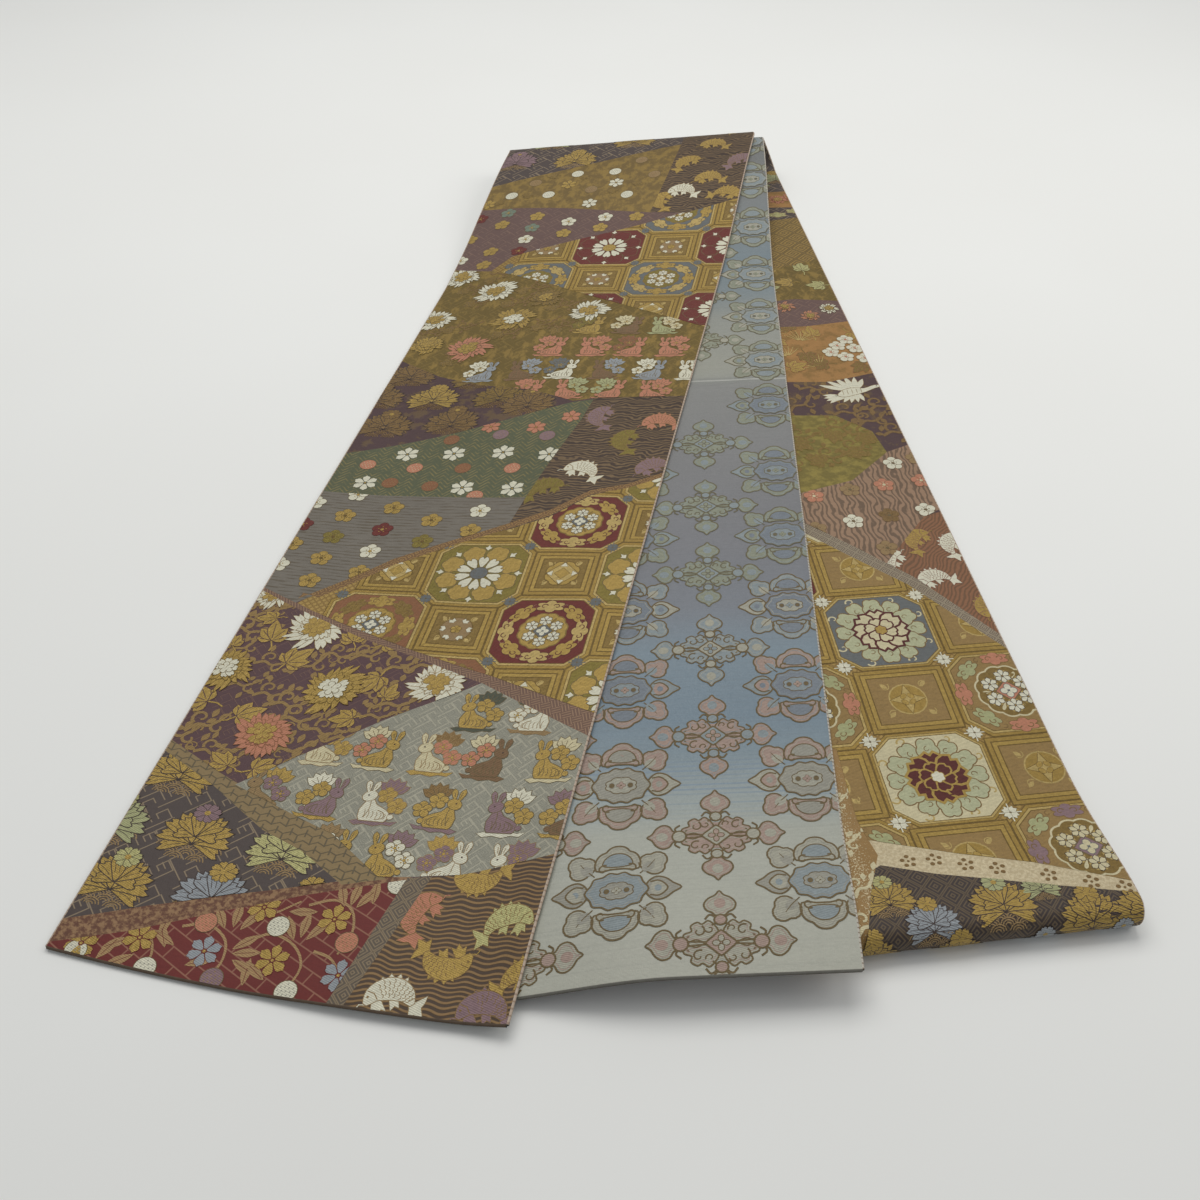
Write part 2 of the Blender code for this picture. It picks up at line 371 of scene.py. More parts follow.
def bloom(outer, inner, edge, r=2.4, petals=13, seed=1, heart=None):
    """A full flower: a ring of narrow, swirling petals with split tips, and a crumpled heart."""
    rng = random.Random(seed)
    items = []
    count = petals - 1
    for rank in (0, 1):
        for k in range(count if rank == 0 else 9):
            a = 360 * (k + 0.5 * rank) / (count if rank == 0 else 9) + rng.uniform(-5, 5)
            l = r * (rng.uniform(0.84, 1.14) if rank == 0 else rng.uniform(0.56, 0.66))
            w = r * rng.uniform(0.38, 0.46)
            lean = (0.30 + rng.uniform(-0.20, 0.16)) * l
            shape = [(x + lean * (y / l) ** 2.6, y) for x, y in petal(l, w, notch=rng.uniform(0.14, 0.30))]
            z = 0.34 * k + 4.2 * rank
            items += put(edged(shape, outer, edge, z, 0.05), angle=a)
            items += put(ribbon([(lean * 0.08, l * 0.42), (lean * 0.30, l * 0.64), (lean * 0.64, l * 0.84)], 0.05, edge, z + 0.38), angle=a)
    for k in range(8):
        a = 45 * k + rng.uniform(-10, 10)
        items += put(edged(petal(r * rng.uniform(0.44, 0.54), r * 0.26, notch=0.14), inner, edge, 8.2 + 0.35 * k, 0.045), rng.uniform(-0.12, 0.12), rng.uniform(-0.12, 0.12), angle=a)
    for k in range(5):
        items += put(edged(petal(r * 0.28, r * 0.2), heart or inner, edge, 11.4 + 0.3 * k, 0.04), angle=72 * k + 20)
    return items


def bent_petal(length, width, bend, point=0.35):
    """A petal whose tip leans sideways, with its rib and side veins."""
    return [(x + bend * (y / length) ** 2, y) for x, y in petal(length, width, point=point)]


def lotus(outer, crown, edge="dark", base="tan", dot="gold"):
    """A clump seen from the front: drooping petals in tiers, a small crown and a bank of waves under it."""
    items = []
    for row in range(3):
        half = 2.35 - 0.38 * row
        count = 4 - row
        for k in range(count):
            x = -half + (2 * half) * (k + 0.5) / count
            for r in (0.66, 0.44, 0.22):
                arc = [(x + r * math.cos(math.radians(q)), -1.05 - 0.40 * row + r * 0.8 * math.sin(math.radians(q))) for q in range(5, 176, 34)]
                items += ribbon(arc, 0.09, base, 0.2)
    z = 0.6
    for tier, (foot, width, fan) in enumerate(((-0.45, 1.15, ((88, 2.20), (66, 2.55), (44, 2.75), (21, 2.75))), (0.15, 1.05, ((72, 1.45), (38, 1.85), (8, 2.0))))):
        for angle, length in fan:
            for side in (-1, 1):
                bend = -side * length * (0.16 + 0.22 * angle / 90)
                shape = [(x + bend * (y / length) ** 2.6, y) for x, y in petal(length, width, notch=0.13)]
                ribs = []
                for s in (-0.20, 0.12):
                    ribs += ribbon([(s * width * (0.7 + t * 0.5) + bend * t ** 2.6, length * t) for t in (0.34, 0.56, 0.74, 0.88)], 0.055, edge, z + 0.40, end=0.03)
                items += put(edged(shape, outer, edge, z, 0.07) + ribs, 0, foot, angle=side * angle)
                z += 0.42
    for k in range(8):
        items += put(edged(petal(1.02, 0.60, notch=0.12), crown, edge, z + 0.35 * (k % 3), 0.05), 0, 2.15, angle=45 * k + 20, flat=0.82)
    items.append((ellipse(0.24, 0.21, 0, 2.15, 9), dot, z + 1.9))
    return items


def koi(colour, edge="darkbrown"):
    spine = curve([(-1.35, -0.75), (-0.95, -0.05), (-0.15, 0.38), (0.75, 0.22), (1.30, -0.42)], 4)
    half = [0.14, 0.24, 0.34, 0.43, 0.51, 0.58, 0.63, 0.66, 0.67, 0.67, 0.64, 0.60, 0.54, 0.47, 0.38, 0.27, 0.12]
    p = np.array(spine)
    d = np.gradient(p, axis=0)
    d /= np.linalg.norm(d, axis=1, keepdims=True)
    n = np.stack([-d[:, 1], d[:, 0]], 1)
    h = np.array(half)[:, None]
    body = [tuple(q) for q in p + n * h] + [tuple(q) for q in (p - n * h)[::-1]]
    items = []
    tail = [(-1.15, -0.62), (-1.60, -0.62), (-2.20, -0.35), (-2.05, -0.75), (-1.85, -1.0), (-1.95, -1.65), (-1.45, -1.35), (-1.15, -1.55), (-1.2, -1.0)]
    items += edged(tail, colour, edge, 0.0, 0.05)
    dorsal = [(-1.0, 0.30), (-1.05, 0.95), (-0.72, 0.78), (-0.62, 1.22), (-0.32, 0.95), (-0.08, 1.30), (0.14, 0.98), (0.42, 1.15), (0.62, 0.70), (0.0, 0.5)]
    items += edged(dorsal, colour, edge, 0.0, 0.05)
    fin = [(0.45, -0.20), (0.10, -0.95), (0.38, -0.80), (0.52, -1.15), (0.74, -0.80), (0.95, -0.95), (0.92, -0.30)]
    items += edged(fin, colour, edge, 0.0, 0.05)
    fin = [(-0.55, -0.20), (-0.62, -0.85), (-0.38, -0.70), (-0.15, -0.95), (-0.05, -0.2)]
    items += edged(fin, colour, edge, 0.0, 0.05)
    items += edged(body, colour, edge, 0.8, 0.05)
    for i in range(2, 12):
        for j in ((-0.62, -0.08, 0.46) if i % 2 else (-0.35, 0.20, 0.68)):
            c = p[i] + n[i] * half[i] * j
            a0 = math.degrees(math.atan2(d[i][1], d[i][0]))
            arc = [(c[0] + 0.14 * math.cos(math.radians(a0 + q)), c[1] + 0.14 * math.sin(math.radians(a0 + q))) for q in (110, 145, 180, 215, 250)]
            items += ribbon(arc, 0.045, edge, 1.5)
    items += ribbon([tuple(p[13] + n[13] * 0.42), tuple(p[13] - d[13] * 0.14), tuple(p[13] - n[13] * 0.42)], 0.06, edge, 1.5)
    items.append((ellipse(0.08, 0.08, *(p[14] + n[14] * 0.15), 8), edge, 1.6))
    items += ribbon([(1.3, -0.45), (1.62, -0.40), (1.80, -0.62)], 0.06, colour, 0.6)
    return items


def rabbit(body, flower, leaf, strip, edge="outline", eye="darkbrown"):
    items = []
    bank = [(-1.5, -1.75), (-0.9, -1.55), (-0.3, -1.66), (0.4, -1.5), (1.1, -1.62), (1.65, -1.5), (1.3, -1.85), (0.7, -1.8), (0.2, -1.98), (-0.5, -1.86), (-1.1, -2.0)]
    items += edged(bank, strip, edge, 0.0, 0.04)
    for k, angle in enumerate((-62, -34, -6, 22, 50)):
        shape = leaf_shape(1.22, 0.66)
        items += put(edged(shape, leaf, edge, 0.2 + 0.3 * (k % 2), 0.045) + ribbon([(0, 0.3), (0, 0.85)], 0.04, edge, 0.95), 0.55, 0.72, angle=angle)
    for fx, fy in ((0.35, 0.50), (1.22, -0.30)):
        items += put(plum(flower, edge, 0.66, "gold"), fx, fy, lift=0.9)
    items += ribbon([(0.9, -1.5), (1.0, -0.9), (0.75, 0.1), (0.6, 0.9)], 0.07, leaf, 0.3)
    haunch = [(-1.05, -1.35), (-1.12, -0.8), (-0.9, -0.2), (-0.72, 0.2), (-0.35, 0.0), (-0.1, -0.35), (0.35, -0.55), (0.85, -0.85), (1.0, -1.25), (0.75, -1.62), (-0.2, -1.62), (-0.9, -1.62)]
    items += edged(haunch, body, edge, 1.9, 0.055)
    head = ellipse(0.50, 0.40, -0.78, 0.32, 12, angle=25)
    items += edged(head, body, edge, 2.5, 0.05)
    items += put(edged(petal(1.0, 0.36, point=0.2), body, edge, 2.3, 0.045), -0.98, 0.55, angle=12)
    items += put(edged(petal(0.92, 0.36, point=0.2), body, edge, 2.5, 0.045), -0.70, 0.62, angle=-14)
    items += ribbon([(-1.0, 0.85), (-1.08, 1.3)], 0.05, edge, 3.1)
    items += ribbon([(-0.64, 0.9), (-0.56, 1.25)], 0.05, edge, 3.1)
    for k in range(6):
        items += ribbon(curve([(-0.75 + 0.28 * k, -0.75 - 0.05 * k), (-0.66 + 0.28 * k, -1.1), (-0.72 + 0.28 * k, -1.42)], 3), 0.045, edge, 2.6)
    items.append((ellipse(0.07, 0.07, -0.88, 0.38, 6), eye, 3.2))
    items += ribbon(curve([(0.1, -0.75), (0.55, -0.95), (0.6, -1.35), (0.1, -1.5)], 4), 0.06, edge, 2.6)
    items += ribbon(curve([(-0.55, -0.1), (-0.5, -0.7), (-0.65, -1.4)], 4), 0.05, edge, 2.6)
    items += edged(ellipse(0.2, 0.2, 1.08, -1.2, 8), body, edge, 2.4, 0.04)
    return items


def maple(colour, edge="aubergine", size=1.0):
    items = []
    for k, (angle, length, width) in enumerate(((78, 0.95, 0.62), (-78, 0.95, 0.62), (38, 1.35, 0.75), (-38, 1.35, 0.75), (0, 1.85, 0.85))):
        shape = leaf_shape(length, width)
        items += put(edged(shape, colour, edge, 0.3 * k, 0.045) + ribbon([(0, 0.15), (0, length * 0.8)], 0.05, edge, 0.3 * k + 0.45), angle=angle)
    items += ribbon([(0, 0), (0.15, -0.6), (0.05, -1.0)], 0.1, colour, 0.2)
    return put(items, size=size)


def scroll(colour, seed=1, size=1.0):
    rng = random.Random(seed)
    items = []
    items += ribbon(curve([(-1.5, -0.8), (-0.7, -0.2), (0.1, -0.35), (0.9, 0.2), (1.5, 0.9)], 4), 0.34, colour, 0.0, end=0.18)
    items += curl(-0.55, 0.45, 0.68, 230, -330, 0.27, colour, 0.15)
    items += curl(0.75, -0.55, 0.62, 80, 320, 0.26, colour, 0.15)
    items += curl(1.25, 0.35, 0.46, 200, -260, 0.22, colour, 0.3)
    for x, y, a in ((-1.4, -0.6, 70), (-0.9, 1.0, 20), (0.2, 0.4, -30), (0.4, -1.05, 160), (1.55, 0.95, -50)):
        items += put([(leaf_shape(rng.uniform(0.7, 1.0), 0.50), colour, 0.25)], x, y, angle=a + rng.uniform(-20, 20))
    return put(items, size=size, angle=rng.uniform(-25, 25))


def cloud(colour, edge, size=1.0):
    items = edged(lobed(0.95, 0.52, 6, 0.34), colour, edge, 0.0, 0.05)
    items += curl(-0.40, 0.0, 0.24, 20, 300, 0.07, edge, 0.9)
    items += curl(0.40, 0.0, 0.24, 160, -300, 0.07, edge, 0.9)
    return put(items, size=size)


def octagon(hx, hy, cx, cy):
    """Half sizes and how far the corners are cut."""
    return [(hx, -(hy - cy)), (hx, hy - cy), (hx - cx, hy), (-(hx - cx), hy), (-hx, hy - cy), (-hx, -(hy - cy)), (-(hx - cx), -hy), (hx - cx, -hy)]


def band(outer, inner, colour, level):
    """The ring between two outlines that have as many points."""
    n = len(outer)
    return [([outer[i], outer[(i + 1) % n], inner[(i + 1) % n], inner[i]], colour, level) for i in range(n)]


def frame_of(shape, level=0.0, thick=0.62):
    a, b, c, d, e, f = shape, grown(shape, -0.07), grown(shape, -thick * 0.50), grown(shape, -thick * 0.58), grown(shape, -thick * 0.88), grown(shape, -thick)
    return (band(a, b, "frameshade", level) + band(b, c, "framegold", level + 0.9) + band(c, d, "frameshade", level)
            + band(d, e, "palegold", level + 0.7) + band(e, f, "frameshade", level))


def rosette(rim, fill, flower, heart, r=2.05):
    """The round middle of a lattice tile: a lobed disc with a ring of small flowers."""
    items = edged(lobed(r, r, 12, 0.07), fill, rim, 0.8, 0.12)
    for k in range(6):
        a = math.radians(60 * k + 30)
        items += edged(ellipse(0.55, 0.55, 1.22 * math.cos(a), 1.22 * math.sin(a), 12), "palegold", "deepgold", 1.3, 0.06)
        items += put(sixflower(flower, "dark", 0.50, "gold"), 1.22 * math.cos(a), 1.22 * math.sin(a), lift=2.0)
        b = math.radians(60 * k)
        items += put([(petal(0.8, 0.24), rim, 1.2)], 0.95 * math.cos(b), 0.95 * math.sin(b), angle=60 * k - 90)
    items += edged([(0.82, 0), (0, 0.82), (-0.82, 0), (0, -0.82)], heart, "outline", 1.6, 0.08)
    items += put(plum_four(flower, "slate"), lift=2.4)
    return items


def plum_four(colour, edge):
    items = []
    for k in range(4):
        items += put(edged(ellipse(0.22, 0.24, 0, 0.30, 8), colour, edge, 0.0, 0.04), angle=90 * k, lift=0.3 * (k % 2))
    items.append((ellipse(0.09, 0.09, count=6), edge, 1.2))
    return items


# ---------------------------------------------------------------- lattice tiles
def clouds_round(colours, edge, radius, squash, size=0.8, count=8, level=0.9):
    items = []
    for k in range(count):
        a = 360 / count * k
        x, y = radius * math.cos(math.radians(a)), radius * squash * math.sin(math.radians(a))
        items += put(cloud(colours[k % len(colours)], edge, size), x, y, angle=a - 90, lift=level)
        b = math.radians(a + 180 / count)
        cx, cy = radius * 1.06 * math.cos(b), radius * 1.06 * squash * math.sin(b)
        items += curl(cx, cy, 0.27, a, 290, 0.085, "brick" if edge == "darkred" else edge, level)
    return items


def tile_cloud(field, edge, fill, flower, heart, hx, hy, cut, colours=("palegold", "gold"), core=0.45, size=1.30, ring="deepgold"):
    """Octagon with clouds round a rosette."""
    shape = octagon(hx, hy, *cut)
    inner = grown(shape, -0.62)
    items = frame_of(shape) + [(inner, field, 0.3)]
    items += clouds_round(colours, edge, hx * (0.245 + core), hy / hx * 0.98, size)
    items += put(rosette(ring, fill, flower, heart, 2.06), size=hx * core / 2.06)
    return items


def tile_petals(field, lobe, petal_colour, heart, hx, hy, cut):
    """Octagon with eight round lobes and a white rosette."""
    shape = octagon(hx, hy, *cut)
    items = frame_of(shape) + [(grown(shape, -0.62), field, 0.3)]
    for k in range(8):
        a = 360 / 8 * k + 22.5
        x, y = hx * 0.62 * math.cos(math.radians(a)), hy * 0.62 * math.sin(math.radians(a))
        items += edged(lobed_at(0.98, 5, 0.16, x, y), lobe, "outline", 0.8 + 0.3 * (k % 2), 0.06)
        items += put(edged([(0, 0), (0.30, 0.35), (0.12, 0.42), (0.0, 0.72), (-0.12, 0.42), (-0.30, 0.35)], petal_colour, "outline", 1.6, 0.03),
                     hx * 0.70 * math.cos(math.radians(a + 22.5)), hy * 0.70 * math.sin(math.radians(a + 22.5)), angle=a + 22.5 - 90)
    for k in range(10):
        items += put(edged(moved(petal(1.35, 0.86, notch=0.20), 0, 0.70), petal_colour, "outline", 2.0 + 0.5 * (k % 2), 0.05), angle=36 * k)
    items += edged(ellipse(0.74, 0.70, count=16), heart, "outline", 3.2, 0.07)
    for k in range(10):
        items += put([(ellipse(0.05, 0.05, 0.45, 0, 6), "outline", 3.8)], angle=36 * k)
    return items


def lobed_at(r, lobes, depth, x, y):
    return moved(lobed(r, r, lobes, depth), x, y)


def square_tile(hx, hy, style):
    box = [(hx, -hy), (hx, hy), (-hx, hy), (-hx, -hy)]
    k = min(hx, hy)
    items = []
    shares = (0.03, 0.13, 0.16, 0.26, 0.29) if style == "cream" else (0.04, 0.16, 0.20, 0.31, 0.35)
    rings = [box] + [grown(box, -k * s) for s in shares]
    for i, colour in enumerate(("frameshade", "framegold", "frameshade", "gold", "frameshade")):
        items += band(rings[i], rings[i + 1], colour, 0.8 * (i % 2))
    items += band(box, grown(box, -0.05), "frameshade", 0.5)
    items.append((rings[-1], "moth" if style == "cream" else "deepgold", 0.1))
    for sx in (-1, 1):
        for sy in (-1, 1):
            items += curl(sx * hx * 0.42, sy * hy * 0.42, k * 0.13, 45, 300 * sx * sy, 0.08, "palegold", 0.6)
            items += put([(leaf_shape(k * 0.24, k * 0.12), "palegold", 0.6)], sx * hx * 0.36, sy * hy * 0.36, angle=math.degrees(math.atan2(sy, sx)) - 90)
    r = k * 0.44
    if style == "blossoms":
        items += edged(ellipse(r * 1.12, r * 1.12, count=20), "tan", "frameshade", 0.8, 0.07)
        for q in range(6):
            a = math.radians(60 * q)
            items += put(edged([(0, 0), (0.3, 0.18), (0.2, 0.5), (0, 0.32), (-0.2, 0.5), (-0.3, 0.18)], "white", "outline", 1.4, 0.03),
                         r * 0.72 * math.cos(a), r * 0.72 * math.sin(a), angle=60 * q - 90, size=k / 2.75)
        items += put(plum("gold", "frameshade", 0.45), lift=1.3)
    elif style == "cream":
        items += edged(ellipse(r * 1.0, r * 1.0, count=20), "framegold", "palegold", 0.8, 0.12)
        items += edged([(0, r), (-r * 0.28, r * 0.28), (-r, 0), (-r * 0.28, -r * 0.28), (0, -r), (r * 0.28, -r * 0.28), (r, 0), (r * 0.28, r * 0.28)], "palegold", "frameshade", 1.5, 0.06)
        for q in range(4):
            items += put(edged(ellipse(r * 0.22, r * 0.15, 0, r * 0.3, 8), "gold", "frameshade", 2.1, 0.03), angle=90 * q + 45)
    else:
        d = [(r * 1.15, 0), (0, r * 1.15), (-r * 1.15, 0), (0, -r * 1.15)]
        items += edged(lobed(r * 1.25, r * 1.25, 8, 0.1), "gold", "frameshade", 0.8, 0.08)
        items += edged(d, "palegold", "frameshade", 1.4, 0.06)
        for q in range(4):
            items += put(edged([(-r * 0.26, r * 0.72), (0, r * 1.12), (r * 0.26, r * 0.72)], "white", "frameshade", 2.0, 0.03), angle=90 * q)
        items += edged(grown(d, -r * 0.42), "gold", "frameshade", 2.0, 0.04)
    return items


def connector(colour, edge, size=1.0):
    items = []
    for k in range(4):
        items += put(edged([(0, 0), (0.36, 0.34), (0.24, 0.78), (0.0, 0.62), (-0.24, 0.78), (-0.36, 0.34)], colour, edge, 1.2, 0.03), angle=90 * k + 45, lift=0.5 * (k % 2))
        items += put(ribbon([(0, 0.5), (0, 1.05)], 0.12, colour, 1.2), angle=90 * k)
    items.append((ellipse(0.12, 0.12, count=8), edge, 2.2))
    return put(items, size=size)


def bloom_tile(field, ring, ring_edge, petals, petal_edge, heart, swirl, hx, hy, cut):
    """Octagon filled by one big flower inside a ring of curled leaves."""
    shape = octagon(hx, hy, *cut)
    items = frame_of(shape, thick=0.5) + [(grown(shape, -0.5), field, 0.3)]
    for sx in (-1, 1):
        for sy in (-1, 1):
            for fx, fy in ((0.80, 0.38), (0.38, 0.80)):
                items += curl(sx * hx * fx, sy * hy * fy, 0.42, 200, 290 * sx * sy, 0.16, swirl, 0.9)
    count = 12
    for k in range(count):
        a = 360 / count * k
        x, y = hx * 0.60 * math.cos(math.radians(a)), hy * 0.60 * math.sin(math.radians(a))
        items += edged(moved(turned(lobed(1.12, 0.88, 5, 0.20), a), x, y), ring, ring_edge, 1.2 + 0.8 * (k % 2), 0.09)
        items += curl(x, y, 0.3, a, 260, 0.07, ring_edge, 2.9)
    for k in range(8):
        a = 45 * k
        items += put(edged(petal(hx * 0.50, hx * 0.34, notch=0.16), petals, petal_edge, 3.6 + 0.4 * k, 0.20), angle=a)
    for k in range(6):
        items += put(edged(petal(hx * 0.29, hx * 0.22, notch=0.1), petals, petal_edge, 7.2 + 0.4 * k, 0.14), angle=60 * k + 15)
    items += edged(lobed(hx * 0.11, hx * 0.11, 6, 0.2), heart, petal_edge, 10.2, 0.06)
    return items


def lattice(tiles, origin, pitch, oct_half, cut, span, connect):
    """Tiles on a chequer: octagons where i + j is even, squares where it is odd."""
    items = []
    sq = (pitch[0] - oct_half[0], pitch[1] - oct_half[1])
    for (i, j), kind in tiles.items():
        x, y = origin[0] + i * pitch[0], origin[1] + j * pitch[1]
        if (i + j) % 2 == 0:
            items.append((kind, x, y))
        else:
            items.append((square_tile(sq[0], sq[1], kind), x, y))
        items.append((put(connect), x + pitch[0] / 2, y + pitch[1] / 2))
        items.append((put(connect), x - pitch[0] / 2, y + pitch[1] / 2))
    return items


# ---------------------------------------------------------------- the lining's two figures
def line_round(points, width, colour, level):
    return ribbon(points, width, colour, level, closed=True)


def karahana_cross(fill, second, edge):
    items = []

    def shape(points, colour, level=0.2, width=0.12):
        return [(points, colour, level)] + line_round(points, width, edge, level + 0.5) + line_round(grown(points, -0.20), 0.05, second, level + 0.4)

    bud = curve_closed([(0, 1.20), (0.26, 0.88), (0.70, 0.62), (0.98, 0.20), (0.86, -0.24), (0.50, -0.46), (0.26, -0.70), (-0.26, -0.70), (-0.50, -0.46), (-0.86, -0.24), (-0.98, 0.20), (-0.70, 0.62), (-0.26, 0.88)])
    for angle, reach, size in ((90, 3.50, 1.05), (-90, 3.50, 1.05), (0, 2.72, 1.05), (180, 2.72, 1.05)):
        out = shape(bud, fill, 0.5)
        out += [([(-0.22, -1.1), (0.22, -1.1), (0.16, 0.1), (-0.16, 0.1)], fill, 0.3)]
        for s in (-1, 1):
            out += ribbon(curve([(s * 0.95, -0.95), (s * 0.66, -0.62), (s * 0.34, -0.80), (s * 0.24, -1.15), (s * 0.55, -1.40)], 4), 0.13, edge, 1.2)
        out += [(ellipse(0.36, 0.40, 0, 0.24, 12), second, 1.1)]
        items += put(out, reach * math.cos(math.radians(angle + 90)), reach * math.sin(math.radians(angle + 90)), size=size, angle=angle)
    items.append((lobed(2.20, 1.20, 8, 0.06), fill, 0.7))
    quarter = curve_closed([(0.10, 0.18), (0.16, 0.85), (0.42, 1.30), (0.80, 1.62), (1.18, 1.36), (1.50, 1.52), (1.92, 1.24), (1.86, 0.86), (2.34, 0.66), (2.30, 0.24), (1.30, 0.10)])
    for sx in (-1, 1):
        for sy in (-1, 1):
            q = [(x * sx, y * sy) for x, y in quarter]
            items += shape(q, fill, 0.9)
            items += curl(sx * 1.42, sy * 0.86, 0.44, 60, 290 * sx * sy, 0.13, edge, 2.0)
            items += curl(sx * 0.72, sy * 1.00, 0.30, 200, -280 * sx * sy, 0.11, edge, 2.0)
    for s in (-1, 1):
        items += edged(ellipse(0.42, 0.42, s * 2.56, 0, 12), second, edge, 2.4, 0.12)
        items += edged(ellipse(0.34, 0.32, 0, s * 1.66, 12), second, edge, 2.4, 0.12)
        items += ribbon(curve([(s * 1.0, 0.0), (s * 1.6, 0.26), (s * 2.1, 0.0), (s * 1.6, -0.26), (s * 1.0, 0.0)], 4), 0.10, edge, 2.6)
    ring = [(0.98 * (1 - 0.26 * abs(math.sin(2 * t))) * math.cos(t), 0.88 * (1 - 0.26 * abs(math.sin(2 * t))) * math.sin(t)) for t in [2 * math.pi * k / 32 for k in range(32)]]
    items += [(ring, second, 3.0)] + line_round(ring, 0.13, edge, 3.4)
    for k in range(4):
        items += put(edged(ellipse(0.17, 0.22, 0, 0.32, 8), fill, edge, 3.8, 0.06), angle=90 * k)
    return items


def curve_closed(points, per=3):
    n = len(points)
    p = [np.array(q, float) for q in points]
    out = []
    for i in range(n):
        a, b, c, d = p[i - 1], p[i], p[(i + 1) % n], p[(i + 2) % n]
        for k in range(per):
            t = k / per
            out.append(tuple(0.5 * (2 * b + (c - a) * t + (2 * a - 5 * b + 4 * c - d) * t * t + (3 * b - a - 3 * c + d) * t ** 3)))
    return out


def karahana_rose(fill, second, heart, edge):
    items = []

    def shape(points, colour, level=0.2, width=0.13, inner=0.22):
        return [(points, colour, level)] + line_round(points, width, edge, level + 0.5) + line_round(grown(points, -inner), 0.05, second, level + 0.4)

    side = curve_closed([(-0.25, 0.0), (0.0, 0.62), (0.50, 0.98), (1.12, 0.84), (1.62, 0.40), (2.16, 0), (1.62, -0.40), (1.12, -0.84), (0.50, -0.98), (0.0, -0.62)])
    for angle in (0, 180):
        part = shape(side, second, 0.4)
        part += [(curve_closed([(0.10, 0), (0.30, 0.50), (0.80, 0.58), (1.20, 0.0), (0.80, -0.58), (0.30, -0.50)]), fill, 1.1)]
        part += ribbon(curve([(0.10, 0.55), (0.72, 0.62), (1.26, 0.0), (0.72, -0.62), (0.10, -0.55)], 4), 0.12, edge, 1.3)
        part += [(ellipse(0.24, 0.28, 0.62, 0, 10), heart, 1.4)]
        items += put(part, 2.10 * math.cos(math.radians(angle)), 0, angle=angle)
    for sx in (-1, 1):
        for sy in (-1, 1):
            ring = []
            for k in range(40):
                t = 2 * math.pi * k / 40
                q = t - math.pi / 4
                r = 1.02 * (0.72 + 0.28 * abs(math.cos(1.5 * q)) ** 0.7) * (1 - 0.035 * abs(math.sin(9 * q)))
                ring.append((sx * (2.42 + r * math.cos(t)), sy * (2.22 + r * 1.02 * math.sin(t))))
            items += shape(ring, fill, 0.3)
            items.append((ellipse(0.36, 0.50, sx * 2.05, sy * 1.90, 10, angle=-45 * sx * sy), second, 1.0))
            items += ribbon([(sx * 1.5, sy * 1.35), (sx * 2.1, sy * 1.95), (sx * 2.5, sy * 2.5)], 0.09, edge, 1.2, end=0.05)
    for sy in (-1, 1):
        shell = [(1.0, 0.02), (0.45, 0.14), (-0.45, 0.14), (-1.0, 0.02)]
        for k in range(37):
            t = math.pi * (1.06 - 1.12 * k / 36)
            r = 1 - 0.13 * (1 - abs(math.sin(2.5 * (t - math.pi / 2) + math.pi / 2))) ** 1.5
            shell.append((1.52 * r * math.cos(t), 0.40 + 1.66 * r * math.sin(t)))
        part = shape(shell, fill, 0.9)
        arch = curve_closed([(-0.98, 0.50), (-0.84, 1.02), (-0.42, 1.36), (0.0, 1.44), (0.42, 1.36), (0.84, 1.02), (0.98, 0.50), (0.50, 0.34), (0.0, 0.30), (-0.50, 0.34)])
        part += [(arch, heart, 1.5)] + line_round(arch, 0.09, edge, 1.8)
        part += curl(-0.92, 0.16, 0.40, 60, 300, 0.13, edge, 2.0) + curl(0.92, 0.16, 0.40, 120, -300, 0.13, edge, 2.0)
        items += put([([(x, y * sy) for x, y in pts], c, z) for pts, c, z in part], 0, sy * 1.72, size=1.02)
    oval = curve_closed([(2.10, 0), (1.72, 0.62), (1.52, 1.10), (0.95, 1.22), (0.50, 1.52), (0, 1.40), (-0.50, 1.52), (-0.95, 1.22), (-1.52, 1.10), (-1.72, 0.62), (-2.10, 0),
                         (-1.72, -0.62), (-1.52, -1.10), (-0.95, -1.22), (-0.50, -1.52), (0, -1.40), (0.50, -1.52), (0.95, -1.22), (1.52, -1.10), (1.72, -0.62)])
    items += put(shape(oval, heart, 2.2), lift=0.4)
    items += [(lobed(1.16, 0.74, 8, 0.12), second, 3.4)] + line_round(lobed(1.16, 0.74, 8, 0.12), 0.07, edge, 3.8)
    for x in (-0.66, 0.66):
        items += edged(ellipse(0.20, 0.22, x, 0, 10), edge, heart, 4.2, 0.05)
    items += put(plum_four(fill, edge), size=0.6, lift=4.2)
    return items


def crane(colour, edge="rust"):
    items = []
    body = curve_closed([(-1.2, -0.3), (-0.4, 0.3), (0.6, 0.35), (1.3, 0.1), (2.3, 0.35), (2.9, 0.1), (2.2, -0.05), (1.2, -0.4), (0.2, -0.6), (-0.8, -0.7)])
    for k in range(6):
        items += put(edged(leaf_shape(2.5 - 0.16 * k, 0.50), colour, edge, 0.2 + 0.3 * k, 0.045), -0.1 + 0.16 * k, 0.1, angle=58 - 19 * k)
        items += put(edged(leaf_shape(1.8 - 0.1 * k, 0.42), colour, edge, 0.2 + 0.3 * k, 0.045), -0.3 + 0.16 * k, -0.3, angle=100 + 17 * k)
    for k in range(4):
        items += put(edged(leaf_shape(1.5, 0.4), colour, edge, 0.2, 0.045), -1.0, -0.45, angle=75 + 16 * k)
    items += edged(body, colour, edge, 2.6, 0.05)
    for x in (-0.6, -0.2, 0.2, 0.6, 1.0):
        items += ribbon([(x, 0.18), (x - 0.12, -0.4)], 0.045, edge, 3.3)
    items.append((ellipse(0.06, 0.06, 2.45, 0.2, 6), "darkbrown", 3.4))
    return items


